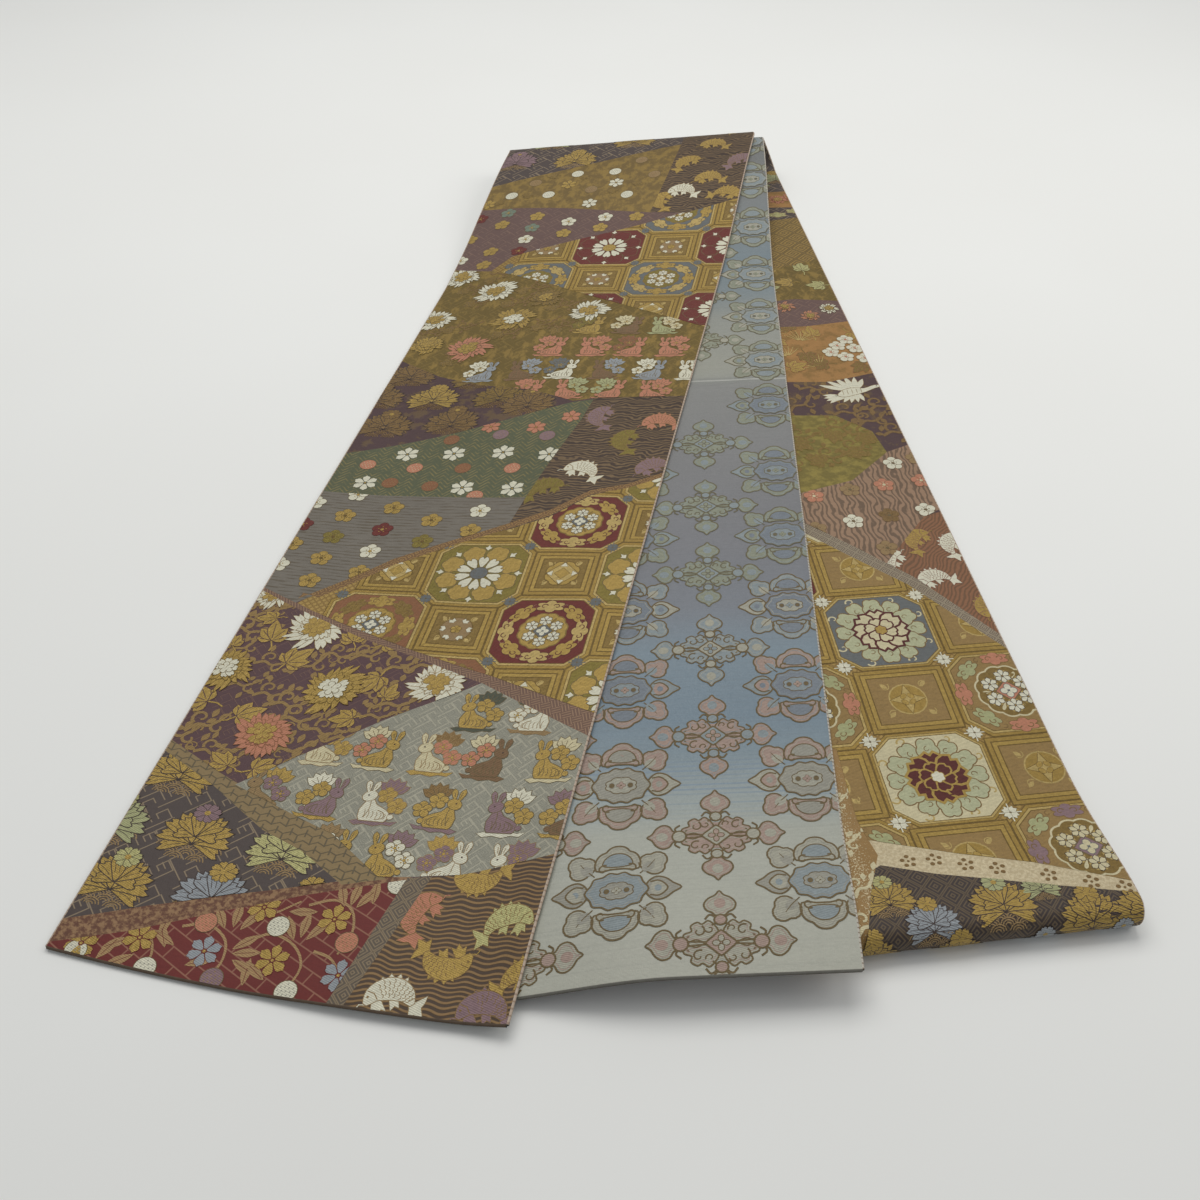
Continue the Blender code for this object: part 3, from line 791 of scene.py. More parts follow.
# ---------------------------------------------------------------- patches and figures of each brocade
# A patch is (name, ground, outline). Later patches lie over earlier ones.
LEFT_PATCHES = [
    ("aubergine", [(-1, -2), (32, -2), (32, 130), (-1, 130)]),
    ("fret_dark", [(-1, 1.8), (0, 2.2), (5, 4.3), (10, 6.2), (15, 7.8), (17.5, 8.5), (13.5, 10.7), (10, 12), (5, 15), (0, 17.4), (-1, 18)]),
    ("red", [(-1, -2), (20, -2), (20, 0), (21.6, 9.5), (15, 7.3), (10, 5.2), (5, 2.6), (0, 0.4), (-1, 0)]),
    ("band_speckled", [(-1, 0), (0, 0.4), (5, 2.6), (10, 5.2), (15, 7.3), (21.6, 9.4), (21.6, 9.9), (15, 8.1), (10, 6.5), (5, 4.5), (0, 2.2), (-1, 1.8)]),
    ("band_hex", [(-1, 17.9), (0, 17.3), (5, 14.9), (10, 11.9), (13.5, 10.6), (17.2, 8.4), (20.0, 9.2), (15, 12.3), (10, 14.1), (5, 16.1), (0, 18.4), (-1, 19)]),
    ("silver", [(19.4, 9.3), (21.6, 9.6), (25, 10.2), (32, 12.4), (32, 22.3), (31, 22.3), (21.5, 27.3), (15, 22.6), (10, 18.7), (6.5, 15.3), (10, 14.1), (15, 12.3)]),
    ("waves_brown", [(20.2, -2), (32, -2), (32, 12.5), (25, 10.2), (23, 9.8), (20.4, 0)]),
    ("band_key", [(19.3, -2), (20.4, -2), (20.4, 0), (23, 9.8), (21.4, 9.5), (19.3, 0)]),
    ("fieldgold1", [(3.5, 34.6), (5, 33.8), (15, 29.8), (22, 27.4), (31, 24.0), (32, 23.6), (32, 54), (31, 53.5), (28, 51.5), (25, 50.5), (22, 47.5), (15, 43.7), (10, 40.5), (5, 36.5)]),
    ("band_mauve", [(-1, 36.2), (2, 34.8), (10, 31.4), (15, 29.6), (21.5, 27.2), (31, 22.2), (32, 21.8), (32, 24.0), (31, 24.4), (22, 28.0), (15, 30.2), (5, 34.0), (-1, 36.8)]),
    ("grey", [(-1, 36.6), (3.4, 34.7), (5, 36.2), (9.4, 40.4), (14.5, 43.4), (18.4, 45.4), (19.3, 50), (-1, 50.3)]),
    ("green", [(-1, 50.1), (19.2, 49.9), (20, 55), (21.5, 62), (22, 65.4), (20, 64.8), (15, 62.5), (10, 60.3), (5, 58.3), (0, 56.3), (-1, 56)]),
    ("waves_dark", [(18.4, 45.2), (22, 47.1), (25, 50.1), (28, 51.5), (31, 53.5), (32, 54), (32, 66.4), (22, 65.6), (21.5, 62), (20, 55), (19.1, 50)]),
    ("band_scale", [(3.6, 36.0), (5, 35.6), (10, 40.3), (15, 43.5), (22, 47.3), (25, 50.3), (28, 51.3), (32, 53.6), (32, 54.4), (27.8, 51.9), (24.8, 50.9), (21.8, 48.1), (14.8, 44.2), (9.7, 41.1), (3.4, 35.2)]),
    ("purple_moss", [(-1, 56), (0, 56.3), (5, 58.3), (10, 60.3), (15, 62.5), (20, 64.8), (21, 65.2), (15, 67.3), (10, 68.5), (5, 70.6), (0, 73.8), (-1, 74.5)]),
    ("olivegold", [(20, 65.0), (22, 65.6), (32, 66.4), (32, 79.2), (31, 79.5), (25, 82.5), (20, 85), (15, 87.5), (12.5, 89), (5, 93), (-1, 94.6), (-1, 74.5), (0, 73.8), (5, 70.6), (10, 68.5), (15, 67.3)]),
    ("mauve", [(-1, 94.3), (5, 92.8), (6.5, 95.5), (13, 98.7), (20, 101.5), (25, 103.7), (20.7, 104.2), (10, 105.8), (-1, 106.8)]),
    ("fieldgold2", [(4.6, 93), (12.5, 89), (15, 87.5), (20, 85), (25, 82.5), (31, 79.5), (32, 79), (32, 106.5), (31, 106), (25, 103.7), (20, 101.5), (13, 98.7), (6.3, 95.5)]),
    ("olivebrown", [(-1, 106.6), (10, 105.6), (20.9, 103.9), (21.5, 112), (22, 119.2), (20, 118.5), (10, 115), (0, 111.5), (-1, 111.2)]),
    ("waves_dark", [(20.7, 104), (25, 103.5), (31, 106), (32, 106.5), (32, 130), (22, 130), (22, 119), (21.5, 112)]),
    ("fret_dark", [(-1, 111.2), (0, 111.5), (10, 115), (20, 118.5), (22, 119), (22, 130), (-1, 130)]),
]

RIGHT_PATCHES = [
    ("purple_moss", [(-1, -4), (32, -4), (32, 120), (-1, 120)]),
    ("fieldgold", [(-1, 6), (14.5, 6), (20, 4.6), (31, 0.8), (32, 0.4), (32, 22.5), (31, 24), (25, 32.5), (21, 36.5), (17, 40.5), (-1, 50)]),
    ("lozenge_dark", [(-1, -4), (32, -4), (32, 0.5), (31, 0.8), (25, 2.2), (18, 4), (14.5, 5.2), (12.6, 3.2), (-1, 3)]),
    ("cream", [(13.4, 6.7), (14.6, 7.2), (20, 5.3), (25, 3.8), (31, 1.4), (32, 1.0), (32, 0.3), (31, 0.5), (25, 1.9), (18, 3.7), (14.6, 4.9), (13.2, 4.2)]),
    ("powder", [(8, -3), (11.2, -3), (13.2, 2.6), (14.7, 5.8), (14.2, 9), (14.4, 15.6), (12.4, 16.4), (-1, 18)]),
    ("waves_rust", [(31.0, 24.8), (32, 22.5), (32, 42), (29, 41), (25.6, 37.4), (23.2, 35.2), (25, 33.4)]),
    ("waves_mauve", [(13, 46), (17, 41.2), (21, 37.3), (23.6, 34.8), (26, 37.6), (29, 40.9), (32, 42.6), (32, 52.4), (31, 52), (28.5, 51), (24, 47), (18.3, 45.5), (13, 45)]),
    ("band_grey", [(13, 45.5), (17, 40.5), (21, 36.5), (25, 32.5), (31, 24), (32, 22.4), (32, 24.2), (25.8, 33.4), (21.9, 37.5), (17.6, 41.6), (13, 47)]),
    ("moss", [(10, 45), (18.3, 45.5), (24, 47), (28.5, 51), (28, 54.5), (25, 57.5), (20, 58), (10, 58)]),
    ("orange", [(10, 64), (20, 64), (26, 63.5), (32, 65), (32, 75.4), (26, 74.6), (10, 75)]),
    ("mauve", [(10, 75), (26, 74.6), (32, 75.4), (32, 79.6), (26, 80.6), (10, 79)]),
    ("olivegold", [(10, 79), (26, 80.6), (32, 79.6), (32, 90), (26, 88), (10, 89)]),
    ("lozenge", [(10, 89), (26, 88), (32, 90), (32, 101), (24, 99.6), (10, 100)]),
    ("fret_dark", [(10, 100), (24, 99.6), (32, 101), (32, 104), (24, 104), (10, 104)]),
    ("orange", [(10, 104), (24, 104), (32, 103.6), (32, 108.4), (24, 108), (10, 108)]),
    ("fret_dark", [(10, 108), (24, 108), (32, 108.4), (32, 120), (10, 120)]),
]


def red_vines():
    """Vines, bamboo leaves, small flowers and balls of the red patch."""
    out = []
    stems = (
        [(3.6, 2.8), (4.8, 3.5), (6.2, 2.6), (7.0, 1.2), (6.6, 0.0)],
        [(8.0, 3.6), (9.6, 4.1), (11.2, 3.2), (11.6, 1.6), (11.0, 0.2)],
        [(12.6, 3.4), (14.0, 4.2), (15.8, 3.6), (16.8, 2.2), (16.4, 0.4)],
        [(15.6, 6.6), (17.2, 7.2), (18.6, 6.6), (19.2, 5.0), (18.8, 3.4)],
        [(10.6, 5.6), (11.8, 6.2), (13.0, 5.4), (15.0, 6.8)],
        [(17.2, 3.4), (18.4, 3.1), (19.3, 2.3)],
    )
    for stem in stems:
        out.append((ribbon(curve(stem, 4), 0.22, "vine", 0.2, end=0.14), 0, 0))
    for x, y, a in ((7.6, 1.9, 35), (8.1, 2.2, 70), (6.9, 2.6, 5), (11.3, 4.2, 8), (11.8, 4.1, -25), (10.8, 4.0, 40),
                    (16.0, 4.2, 5), (16.4, 4.1, -30), (15.6, 4.0, 35), (18.4, 6.9, 0), (18.8, 6.8, -28), (18.0, 6.8, 28),
                    (12.0, 2.4, -75), (12.2, 2.0, -110), (11.9, 2.7, -45), (4.4, 1.9, 160), (5.9, 1.0, 130), (16.4, 6.2, 100),
                    (19.8, 7.2, 10), (14.8, 1.0, 60), (9.4, 1.0, -60), (3.6, 0.9, -50), (13.6, 0.4, 10), (8.6, 5.0, 80)):
        out.append((put([(leaf_shape(1.95, 0.66, 0.1), "vine", 0.3)] + ribbon([(0, 0.2), (0.05, 1.5)], 0.04, "maroon", 0.7), angle=a), x, y))
    for x, y, c in ((5.7, 2.2, "gold"), (10.2, 2.2, "blue"), (14.8, 2.4, "gold"), (19.4, 2.0, "blue"), (12.7, 6.0, "gold"), (17.7, 5.8, "gold"), (2.2, 0.9, "gold")):
        out.append((put(sixflower(c, "maroon", 1.0), lift=0.8), x, y))
    for x, y, c in ((2.1, 0.35, "white"), (7.0, 0.3, "white"), (14.2, 4.8, "white"), (16.5, 0.5, "white"), (21.0, 8.9, "white"),
                    (9.4, 4.2, "salmon"), (19.1, 4.3, "salmon"), (11.5, 0.5, "mauve")):
        out.append((put(ball(c, "tan" if c != "white" else "silver", 0.72), lift=1.2), x, y))
    return out


def aubergine_patch():
    out = []
    rng = random.Random(4)
    spots = [(2.2, 34.0), (9.3, 29.3), (11.6, 29.6), (12.9, 25.6), (3.0, 25.0), (7.4, 23.6), (8.6, 22.3), (2.0, 20.6), (0.4, 19.2),
             (5.6, 24.4), (13.0, 21.0), (11.0, 21.3), (8.6, 17.2), (3.6, 18.0), (5.0, 17.6), (15.6, 24.6), (16.8, 29.0), (12.8, 31.0),
             (1.0, 31.0), (4.3, 27.6), (1.2, 29.0), (14.6, 28.6), (7.2, 28.0), (9.2, 19.4), (0.6, 33.0), (14.6, 23.2)]
    for k, (x, y) in enumerate(spots):
        out.append((scroll("scroll", 10 + k, rng.uniform(0.85, 1.15)), x, y))
    for k in range(26):
        x, y = rng.uniform(0, 17), rng.uniform(17, 35)
        out.append((put(curl(0, 0, rng.uniform(0.35, 0.6), rng.uniform(0, 360), rng.choice((-300, 300)), 0.13, "scroll", 0.05)), x, y))
    for x, y, a, s in ((3.2, 30.0, 10, 1.0), (5.4, 27.7, -40, 1.05), (1.0, 22.6, 75, 1.1), (3.9, 21.6, -60, 0.95), (13.3, 27.1, 150, 0.95),
                       (12.7, 22.7, 100, 0.8), (7.2, 16.8, -80, 1.0), (9.8, 30.8, 20, 0.85), (14.4, 25.0, -20, 0.7), (0.4, 28.8, 30, 0.8),
                       (12.4, 30.7, -70, 0.8), (5.2, 16.9, 60, 0.8), (10.6, 17.6, 70, 0.6), (2.6, 32.6, 100, 0.7)):
        out.append((put(maple("gold", "aubergine", 1.3 * s), angle=a, lift=1.2), x, y))
    flowers = ((6.3, 32.0, "white", "gold", 2.45, 3), (10.0, 25.5, "gold", "white", 2.55, 5), (6.5, 20.3, "salmon", "gold", 2.35, 7),
               (18.0, 26.9, "white", "gold", 2.2, 9), (1.0, 26.3, "gold", "white", 2.2, 11), (1.2, 35.4, "white", "gold", 1.7, 13))
    for x, y, a, b, r, seed in flowers:
        out.append((put(bloom(a, b, "scroll" if a == "white" else "frameshade" if a == "gold" else "rust", r, 13, seed), lift=2.6), x, y))
    return out


def figures_left():
    """(patch names, figure, u, v) for the left stretch's brocade."""
    out = []
    out += [("red", *f) for f in red_vines()]
    for a, b, x, y, base in (("gold", "mauve", 5.7, 10.3, "tan"), ("gold", "lemon", 2.0, 5.6, "tan"), ("blue", "gold", 8.9, 5.9, "bronze"), ("leafgreen", "lemon", -0.6, 10.3, "tan"),
                       ("lemon", "gold", 12.3, 10.3, "tan"), ("gold", "gold", 2.3, 15.4, "tan"), ("salmon", "gold", 15.3, 5.8, "tan"), ("gold", "mauve", 8.8, 15.6, "tan")):
        out.append(("fret_dark", lotus(a, b, base=base), x, y))
    for a, b, x, y in (("mauve", "mauve", 1.7, 117.2), ("gold", "gold", 9.2, 116.6), ("gold", "mauve", 15.8, 121.0), ("leafgreen", "gold", 5.4, 122.2),
                       ("gold", "lemon", 12.2, 126.2), ("mauve", "gold", 1.6, 126.6), ("gold", "gold", 19.0, 126.4), ("gold", "gold", 8.4, 127.0)):
        out.append(("fret_dark", lotus(a, b), x, y))
    for c, x, y, m, a in (("salmon", 23.1, 7.2, False, 60), ("gold", 26.0, 3.8, True, 190), ("lemon", 29.2, 7.0, False, 10), ("white", 23.0, 1.2, True, 15),
                          ("mauve", 29.0, 1.0, True, 10), ("gold", 26.0, 10.0, False, 170), ("gold", 31.4, 3.2, False, 0)):
        out.append(("waves_brown", put(koi(c, "bronze" if c != "white" else "tan"), mirror=m, angle=a, size=1.10), x, y))
    for c, x, y, m, a in (("white", 23.2, 54.0, True, -12), ("olive", 26.3, 58.8, False, 80), ("mauve", 29.6, 54.6, True, 30), ("salmon", 29.0, 61.8, True, 10),
                          ("mauve", 23.2, 62.6, False, 80), ("olive", 20.6, 51.4, False, 20),
                          ("gold", 23.5, 114.5, False, 30), ("gold", 26.5, 110.6, True, 10), ("gold", 29.5, 107.2, False, -20), ("gold", 26.0, 118.6, True, 0),
                          ("gold", 21.6, 106.4, False, 80), ("white", 23.7, 108.2, True, 0), ("mauve", 30.0, 114.2, False, 20), ("gold", 29.6, 123.0, False, 10), ("white", 25.0, 124.4, True, 10)):
        out.append(("waves_dark", put(koi(c, "bronze" if c != "white" else "tan"), mirror=m, angle=a, size=1.12), x, y))
    rows = (
        (24.3, ((22.0, "gold", "gold", "darkgreen", "darkgreen"), (26.4, "white", "white", "darkgreen", "tan"))),
        (20.0, ((11.7, "cream", "gold", "tan", "cream"), (15.8, "gold", "salmon", "cream", "cream"), (20.0, "cream", "salmon", "bronze", "gold"), (24.0, "brown", "salmon", "cream", "brown"), (28.8, "gold", "gold", "cream", "cream"))),
        (15.3, ((8.7, "tan", "mauve", "gold", "cream"), (13.2, "mauve", "gold", "white", "gold"), (17.4, "white", "gold", "mauve", "mauve"), (21.9, "gold", "gold", "bronze", "mauve"), (26.6, "mauve", "gold", "white", "white"), (31.0, "brown", "gold", "mauve", "gold"))),
        (11.0, ((11.2, "gold", "white", "tan", "tan"), (15.4, "gold", "white", "tan", "tan"), (19.4, "gold", "white", "mauve", "gold"), (23.6, "white", "mauve", "gold", "white"), (28.0, "white", "mauve", "mauve", "gold"))),
    )
    for y, row in rows:
        for k, (x, body, flower, leaf, strip) in enumerate(row):
            edge = "tan" if body in ("white", "cream") else "outline"
            out.append(("silver", put(rabbit(body, flower, leaf, strip, edge), mirror=k % 2 == 1, size=1.08), x, y + 0.1))
    cells = (
        (67.4, ("salmon", "salmon", "salmon", "salmon"), ("salmon", "leafgreen", "leafgreen", "salmon"), (15.0, 19.1, 23.2, 27.5)),
        (71.2, ("blue", "brown", "white", "brown", "blue", "white"), ("white", "blue", "slate", "blue", "white", "white"), (9.3, 13.5, 17.6, 22.0, 26.6, 30.8)),
        (75.6, ("salmon", "salmon", "salmon", "salmon"), ("salmon", "salmon", "rust", "salmon"), (15.5, 19.8, 23.8, 28.0)),
        (80.0, ("brown", "leafgreen", "gold"), ("cream", "cream", "olive"), (22.7, 26.5, 18.6)),
    )
    for y, bodies, leaves, xs in cells:
        for k, x in enumerate(xs):
            out.append(("olivegold", put(rabbit(bodies[k], leaves[k], leaves[k], bodies[k], "outline"), mirror=k % 2 == 0, size=1.06), x, y))
    out += [("aubergine", *f) for f in aubergine_patch()]
    # near lattice
    cut, half, pitch = (1.55, 1.50), (4.35, 4.10), (7.15, 6.75)
    red = tile_cloud("maroon", "darkred", "gold", "white", "slate", *half, cut)
    olive = tile_petals("olive", "gold", "white", "slate", *half, cut)
    brown = tile_cloud("rust", "bronze", "gold", "white", "slate", *half, cut, ("gold", "deepgold"))
    tiles = {(2, 0): red, (2, 2): red, (1, 1): olive, (3, 1): olive, (0, 0): brown, (3, -1): olive, (1, -1): brown, (0, 2): brown, (3, 3): olive, (1, 3): olive,
             (1, 0): "blossoms", (2, 1): "diamond", (0, 1): "diamond", (3, 0): "blossoms", (2, -1): "diamond", (3, 2): "blossoms", (1, 2): "blossoms", (2, 3): "diamond"}
    for item in lattice(tiles, (10.5, 32.9), pitch, half, cut, None, connector("slate", "outline", 0.66)):
        out.append(("fieldgold1", *item))
    # far lattice
    teal = tile_cloud("slate", "outline", "olive", "white", "gold", *half, cut, ("gold", "palegold"))
    big = tile_petals("maroon", "maroon", "white", "gold", *half, cut)
    tiles = {(0, 0): teal, (2, 0): teal, (1, 1): big, (3, 1): big, (2, 2): teal, (3, -1): big, (0, 2): teal, (1, -1): big,
             (1, 0): "blossoms", (2, 1): "blossoms", (3, 0): "diamond", (0, 1): "blossoms", (1, 2): "diamond", (2, -1): "diamond", (3, 2): "blossoms"}
    for item in lattice(tiles, (10.1, 90.1), pitch, half, cut, None, connector("slate", "outline", 0.66)):
        out.append(("fieldgold2", *item))
    for x, y, c in ((15.4, 48.0, "white"), (7.3, 42.0, "white"), (0.1, 48.3, "white"), (0.1, 39.3, "white"), (7.4, 48.2, "gold"), (3.4, 46.7, "gold"), (11.4, 46.5, "gold"),
                    (15.3, 45.2, "gold"), (3.4, 40.6, "gold"), (7.3, 39.2, "gold"), (3.5, 37.6, "gold"), (7.4, 45.0, "maroon"), (0.1, 45.0, "maroon"), (3.4, 43.6, "olive"),
                    (11.5, 43.5, "olive"), (0.2, 42.2, "gold"), (3.5, 49.9, "white")):
        out.append(("grey", plum(c, "outline" if c != "maroon" else "darkred", 0.98, "gold" if c in ("white", "maroon") else "frameshade"), x, y))
    for x, y in ((6.0, 56.6), (15.2, 56.8), (19.7, 56.3), (3.5, 51.8), (12.8, 51.4), (17.5, 51.2), (10.5, 56.7)):
        out.append(("green", put(sixflower("white", "darkgreen", 1.02), angle=8), x, y))
    for x, y, c in ((2.8, 54.7, "salmon"), (7.4, 54.4, "salmon"), (16.7, 54.3, "salmon"), (14.3, 50.2, "salmon"), (14.2, 59.7, "mauve"), (18.8, 59.3, "mauve"), (12.0, 54.4, "rust"), (9.7, 51.6, "rust"), (9.6, 59.0, "rust"), (5.8, 52.0, "rust")):
        out.append(("green", ball(c, "cream" if c == "salmon" else "tan", 0.75), x, y))
    for x, y in ((12.9, 61.0), (17.4, 60.7), (20.4, 62.4)):
        out.append(("green", sixflower("salmon", "rust", 0.85), x, y))
    for a, x, y in (("bronze", 2.3, 61.2), ("bronze", 8.8, 61.8), ("gold", 5.7, 66.0), ("bronze", 2.0, 70.6), ("deepgold", 12.4, 66.0), ("bronze", 0.0, 66.2), ("deepgold", 9.2, 69.8), ("bronze", 15.6, 64.6)):
        out.append(("purple_moss", lotus(a, a, edge="dark", base="bronze"), x, y))
    for x, y, a, b, r in ((6.3, 88.2, "white", "gold", 1.9), (17.8, 83.0, "white", "gold", 1.75), (10.0, 81.5, "gold", "white", 1.9), (6.5, 76.0, "salmon", "gold", 1.9),
                          (1.0, 82.5, "white", "gold", 1.8), (1.5, 92.3, "white", "gold", 1.7), (1.8, 77.0, "gold", "gold", 1.5), (12.4, 86.0, "deepgold", "gold", 1.5)):
        out.append(("olivegold", put(bloom(a, b, "outline", r * 1.22, 12, int(x * 10)), lift=1.0), x, y))
    rng = random.Random(8)
    for k, (x, y) in enumerate(((3.6, 80.0), (4.0, 85.4), (8.6, 84.6), (12.6, 79.4), (9.2, 77.8), (14.0, 83.6), (2.4, 88.6), (9.8, 87.6), (4.6, 73.6), (15.2, 79.0), (0.6, 79.0), (5.0, 91.4))):
        out.append(("olivegold", put(maple("deepgold", "outline", 0.75), angle=rng.uniform(0, 360)), x, y))
        out.append(("olivegold", scroll("bronze", 60 + k, 0.8), x + 1.2, y + 0.8))
    for x, y, c in ((3.4, 102.8, "gold"), (7.3, 104.0, "gold"), (11.2, 100.2, "gold"), (15.3, 101.2, "gold"), (3.4, 97.3, "gold"), (3.3, 94.5, "gold"), (11.3, 102.6, "white"),
                    (15.5, 103.3, "white"), (7.0, 99.2, "white"), (7.2, 101.6, "teal"), (6.8, 96.7, "maroon"), (0.2, 100.4, "gold"), (0.2, 96.0, "white"), (19.2, 103.2, "gold"), (3.6, 105.2, "teal"), (0.4, 104.6, "maroon")):
        out.append(("mauve", plum(c, "outline" if c != "maroon" else "darkred", 0.92), x, y))
    for x, y, c in ((3.1, 109.0, "white"), (7.6, 108.7, "white"), (14.8, 113.2, "white"), (17.2, 107.9, "white"), (10.2, 113.2, "white"), (19.8, 112.0, "tan"), (12.6, 109.4, "tan"), (5.4, 111.6, "tan"), (17.6, 115.6, "tan")):
        out.append(("olivebrown", ball(c, "silver" if c == "white" else "bronze", 0.72), x, y))
    for x, y in ((13.0, 106.4), (0.6, 107.6), (9.6, 110.8), (15.4, 110.6)):
        out.append(("olivebrown", sixflower("white" if x > 12 else "gold", "outline", 0.85), x, y))
    for k, (x, y) in enumerate(((5.4, 108.6), (15.0, 108.6), (11.4, 112.0), (18.4, 110.2), (2.0, 107.4), (7.6, 113.0))):
        out.append(("olivebrown", put(maple("deepgold", "outline", 0.6), angle=rng.uniform(0, 360)), x, y))
    return out


def figures_right():
    out = []
    for a, b, x, y, s in (("gold", "leafgreen", 21.6, 0.6, 0.85), ("gold", "gold", 27.4, -1.0, 0.85), ("blue", "gold", 16.6, -0.2, 0.7), ("gold", "lemon", 14.2, 1.9, 0.7), ("leafgreen", "blue", 24.6, 1.6, 0.5),
                          ("gold", "blue", 31.2, -0.6, 0.8), ("gold", "gold", 18.4, -2.9, 0.8), ("blue", "blue", 24.2, -3.0, 0.7), ("gold", "gold", 12.4, -2.4, 0.8), ("gold", "gold", 10.0, 1.6, 0.9), ("blue", "blue", 29.6, -3.0, 0.7)):
        out.append(("lozenge_dark", put(lotus(a, b), size=s), x, y))
    for x, y in ((13.9, 5.7), (16.6, 5.0), (20.4, 4.2), (22.4, 3.6), (25.6, 2.6), (28.2, 1.7), (30.2, 1.0), (18.4, 4.9)):
        dots = []
        for k in range(5):
            a = math.radians(72 * k + 20)
            dots.append((ellipse(0.17, 0.15, 0.42 * math.cos(a), 0.42 * math.sin(a), 9), "bronze", 0.4))
        dots.append((ellipse(0.10, 0.10, count=7), "bronze", 0.4))
        out.append(("cream", dots, x, y))
    half, pitch, cut = (4.55, 4.35), (8.20, 7.55), (1.75, 1.60)
    cream = bloom_tile("cream", "celadon", "bronze", "darkred", "gold", "white", "palegold", *half, cut)
    steel = bloom_tile("slate", "celadon", "bronze", "cream", "darkred", "gold", "cream", *half, cut)
    tan1 = tile_cloud("moth", "bronze", "deepgold", "white", "salmon", *half, cut, ("salmon", "leafgreen"), 0.56, 1.30, "cream")
    tan2 = tile_cloud("moth", "bronze", "deepgold", "cream", "mauve", *half, cut, ("mauve", "leafgreen"), 0.56, 1.30, "cream")
    red = tile_cloud("maroon", "darkred", "gold", "white", "slate", *half, cut, ("palegold", "white"))
    tiles = {(0, 0): cream, (0, 2): steel, (1, 1): tan1, (1, -1): tan2, (-1, 1): tan1, (-1, 3): red, (1, 3): red, (-1, -1): tan2, (0, -2): cream, (-1, 5): cream, (0, 4): cream,
             (0, 1): "cream", (1, 0): "cream", (0, -1): "cream", (-1, 0): "cream", (0, 3): "cream", (1, 2): "cream", (-1, 2): "cream", (-1, 4): "cream"}
    for item in lattice(tiles, (21.2, 12.2), pitch, half, cut, None, connector("white", "outline", 0.80)):
        out.append(("fieldgold", *item))
    for c, x, y, m, a in (("white", 27.4, 33.0, True, 20), ("white", 24.6, 35.6, False, 60), ("white", 30.6, 37.4, False, 50), ("gold", 27.6, 38.2, False, 45), ("gold", 31.0, 29.2, True, 60)):
        out.append(("waves_rust", put(koi(c, "brick"), mirror=m, angle=a, size=1.0), x, y))
    for x, y, c in ((19.8, 45.0, "salmon"), (26.8, 46.0, "salmon"), (30.5, 46.3, "salmon"), (22.5, 41.0, "white"), (29.6, 42.0, "white"), (21.4, 36.7, "white"), (26.0, 41.5, "bronze"),
                    (24.6, 37.2, "tan"), (18.9, 40.3, "tan"), (23.4, 45.6, "tan"), (16.4, 43.4, "white"), (28.6, 49.2, "white"), (31.0, 49.8, "tan")):
        out.append(("waves_mauve", plum(c, "brown", 1.0, "outline" if c != "salmon" else "cream"), x, y))
    out.append(("purple_moss", put(crane("white", "tan"), angle=8, size=1.25), 27.6, 61.6))
    for k, (x, y) in enumerate(((24.6, 55.4), (28.6, 56.6), (22.0, 60.0), (30.4, 59.0), (24.4, 62.6), (26.8, 58.2), (21.4, 56.2), (30.8, 54.4))):
        out.append(("purple_moss", put(scroll("bronze", 90 + k, 1.2)), x, y))
    rng = random.Random(31)
    dust = []
    for k in range(420):
        x = 11.2 + abs(rng.gauss(0, 1.9))
        y = rng.uniform(-2.9, 16)
        r = rng.uniform(0.035, 0.085)
        dust.append((ellipse(r, r * 1.2, x + (0.0 if y > 4 else 0.6), y, 5), rng.choice(("cream", "cream", "white", "palegold")), 0.3))
    for name in ("powder", "fieldgold", "lozenge_dark", "cream"):
        out.append((name, dust, 0, 0))
    for x, y, s in ((12.6, 0.4, 1.0), (13.0, 3.4, 0.9), (12.8, 7.4, 0.9), (13.0, 11.0, 0.8), (12.4, -2.2, 1.0)):
        out.append(("powder", put(scroll("cream", int(10 * x + y), 0.9 * s)), x, y))
    rng = random.Random(21)
    for k, (x, y) in enumerate(((22.0, 50.0), (25.0, 51.4), (20.0, 53.4), (24.0, 54.8), (17.6, 49.4), (26.6, 53.2))):
        out.append(("moss", put(maple("deepgold", "olive", 1.1), angle=rng.uniform(0, 360)), x, y))
        out.append(("moss", scroll("deepgold", 40 + k, 1.1), x + 1, y + 1))
    for k, (x, y) in enumerate(((22.4, 66.4), (24.6, 69.0), (22.0, 72.0), (26.4, 66.8), (26.2, 72.6), (30.4, 66.4), (30.6, 72.8), (24.0, 74.0))):
        out.append(("orange", put(maple("deepgold" if k % 2 else "gold", "rust", 1.15), angle=rng.uniform(0, 360)), x, y))
    for x, y in ((28.8, 68.0), (30.2, 69.6), (28.4, 70.2), (30.8, 67.6), (29.6, 71.4), (27.4, 69.0)):
        out.append(("orange", put(plum("white", "tan", 0.95, "salmon"), lift=1.5), x, y))
    for x, y, a in ((22.6, 68.6, 20), (24.6, 71.6, -15), (25.6, 66.6, 40), (21.6, 72.6, 0)):
        spray = []
        for k in range(9):
            spray += put(ribbon([(0, 0.2), (0.05, 1.1), (0.0, 2.1)], 0.13, "palegold", 0.9, end=0.05), angle=-64 + 16 * k)
        out.append(("orange", put(spray, angle=a), x, y))
    for x, y in ((24.5, 79.0), (29.4, 78.2), (22.0, 77.4), (27.0, 76.8)):
        out.append(("mauve", put(bloom("salmon" if x < 28 else "white", "gold", "outline", 1.1, 9, int(x))), x, y))
    for k, (x, y) in enumerate(((23.0, 83.0), (26.4, 84.4), (30.0, 83.4), (24.4, 87.0), (28.4, 87.2), (31.0, 87.6), (21.6, 86.0))):
        out.append(("olivegold", put(maple("gold" if k % 2 else "lemon", "outline", 1.1), angle=rng.uniform(0, 360)), x, y))
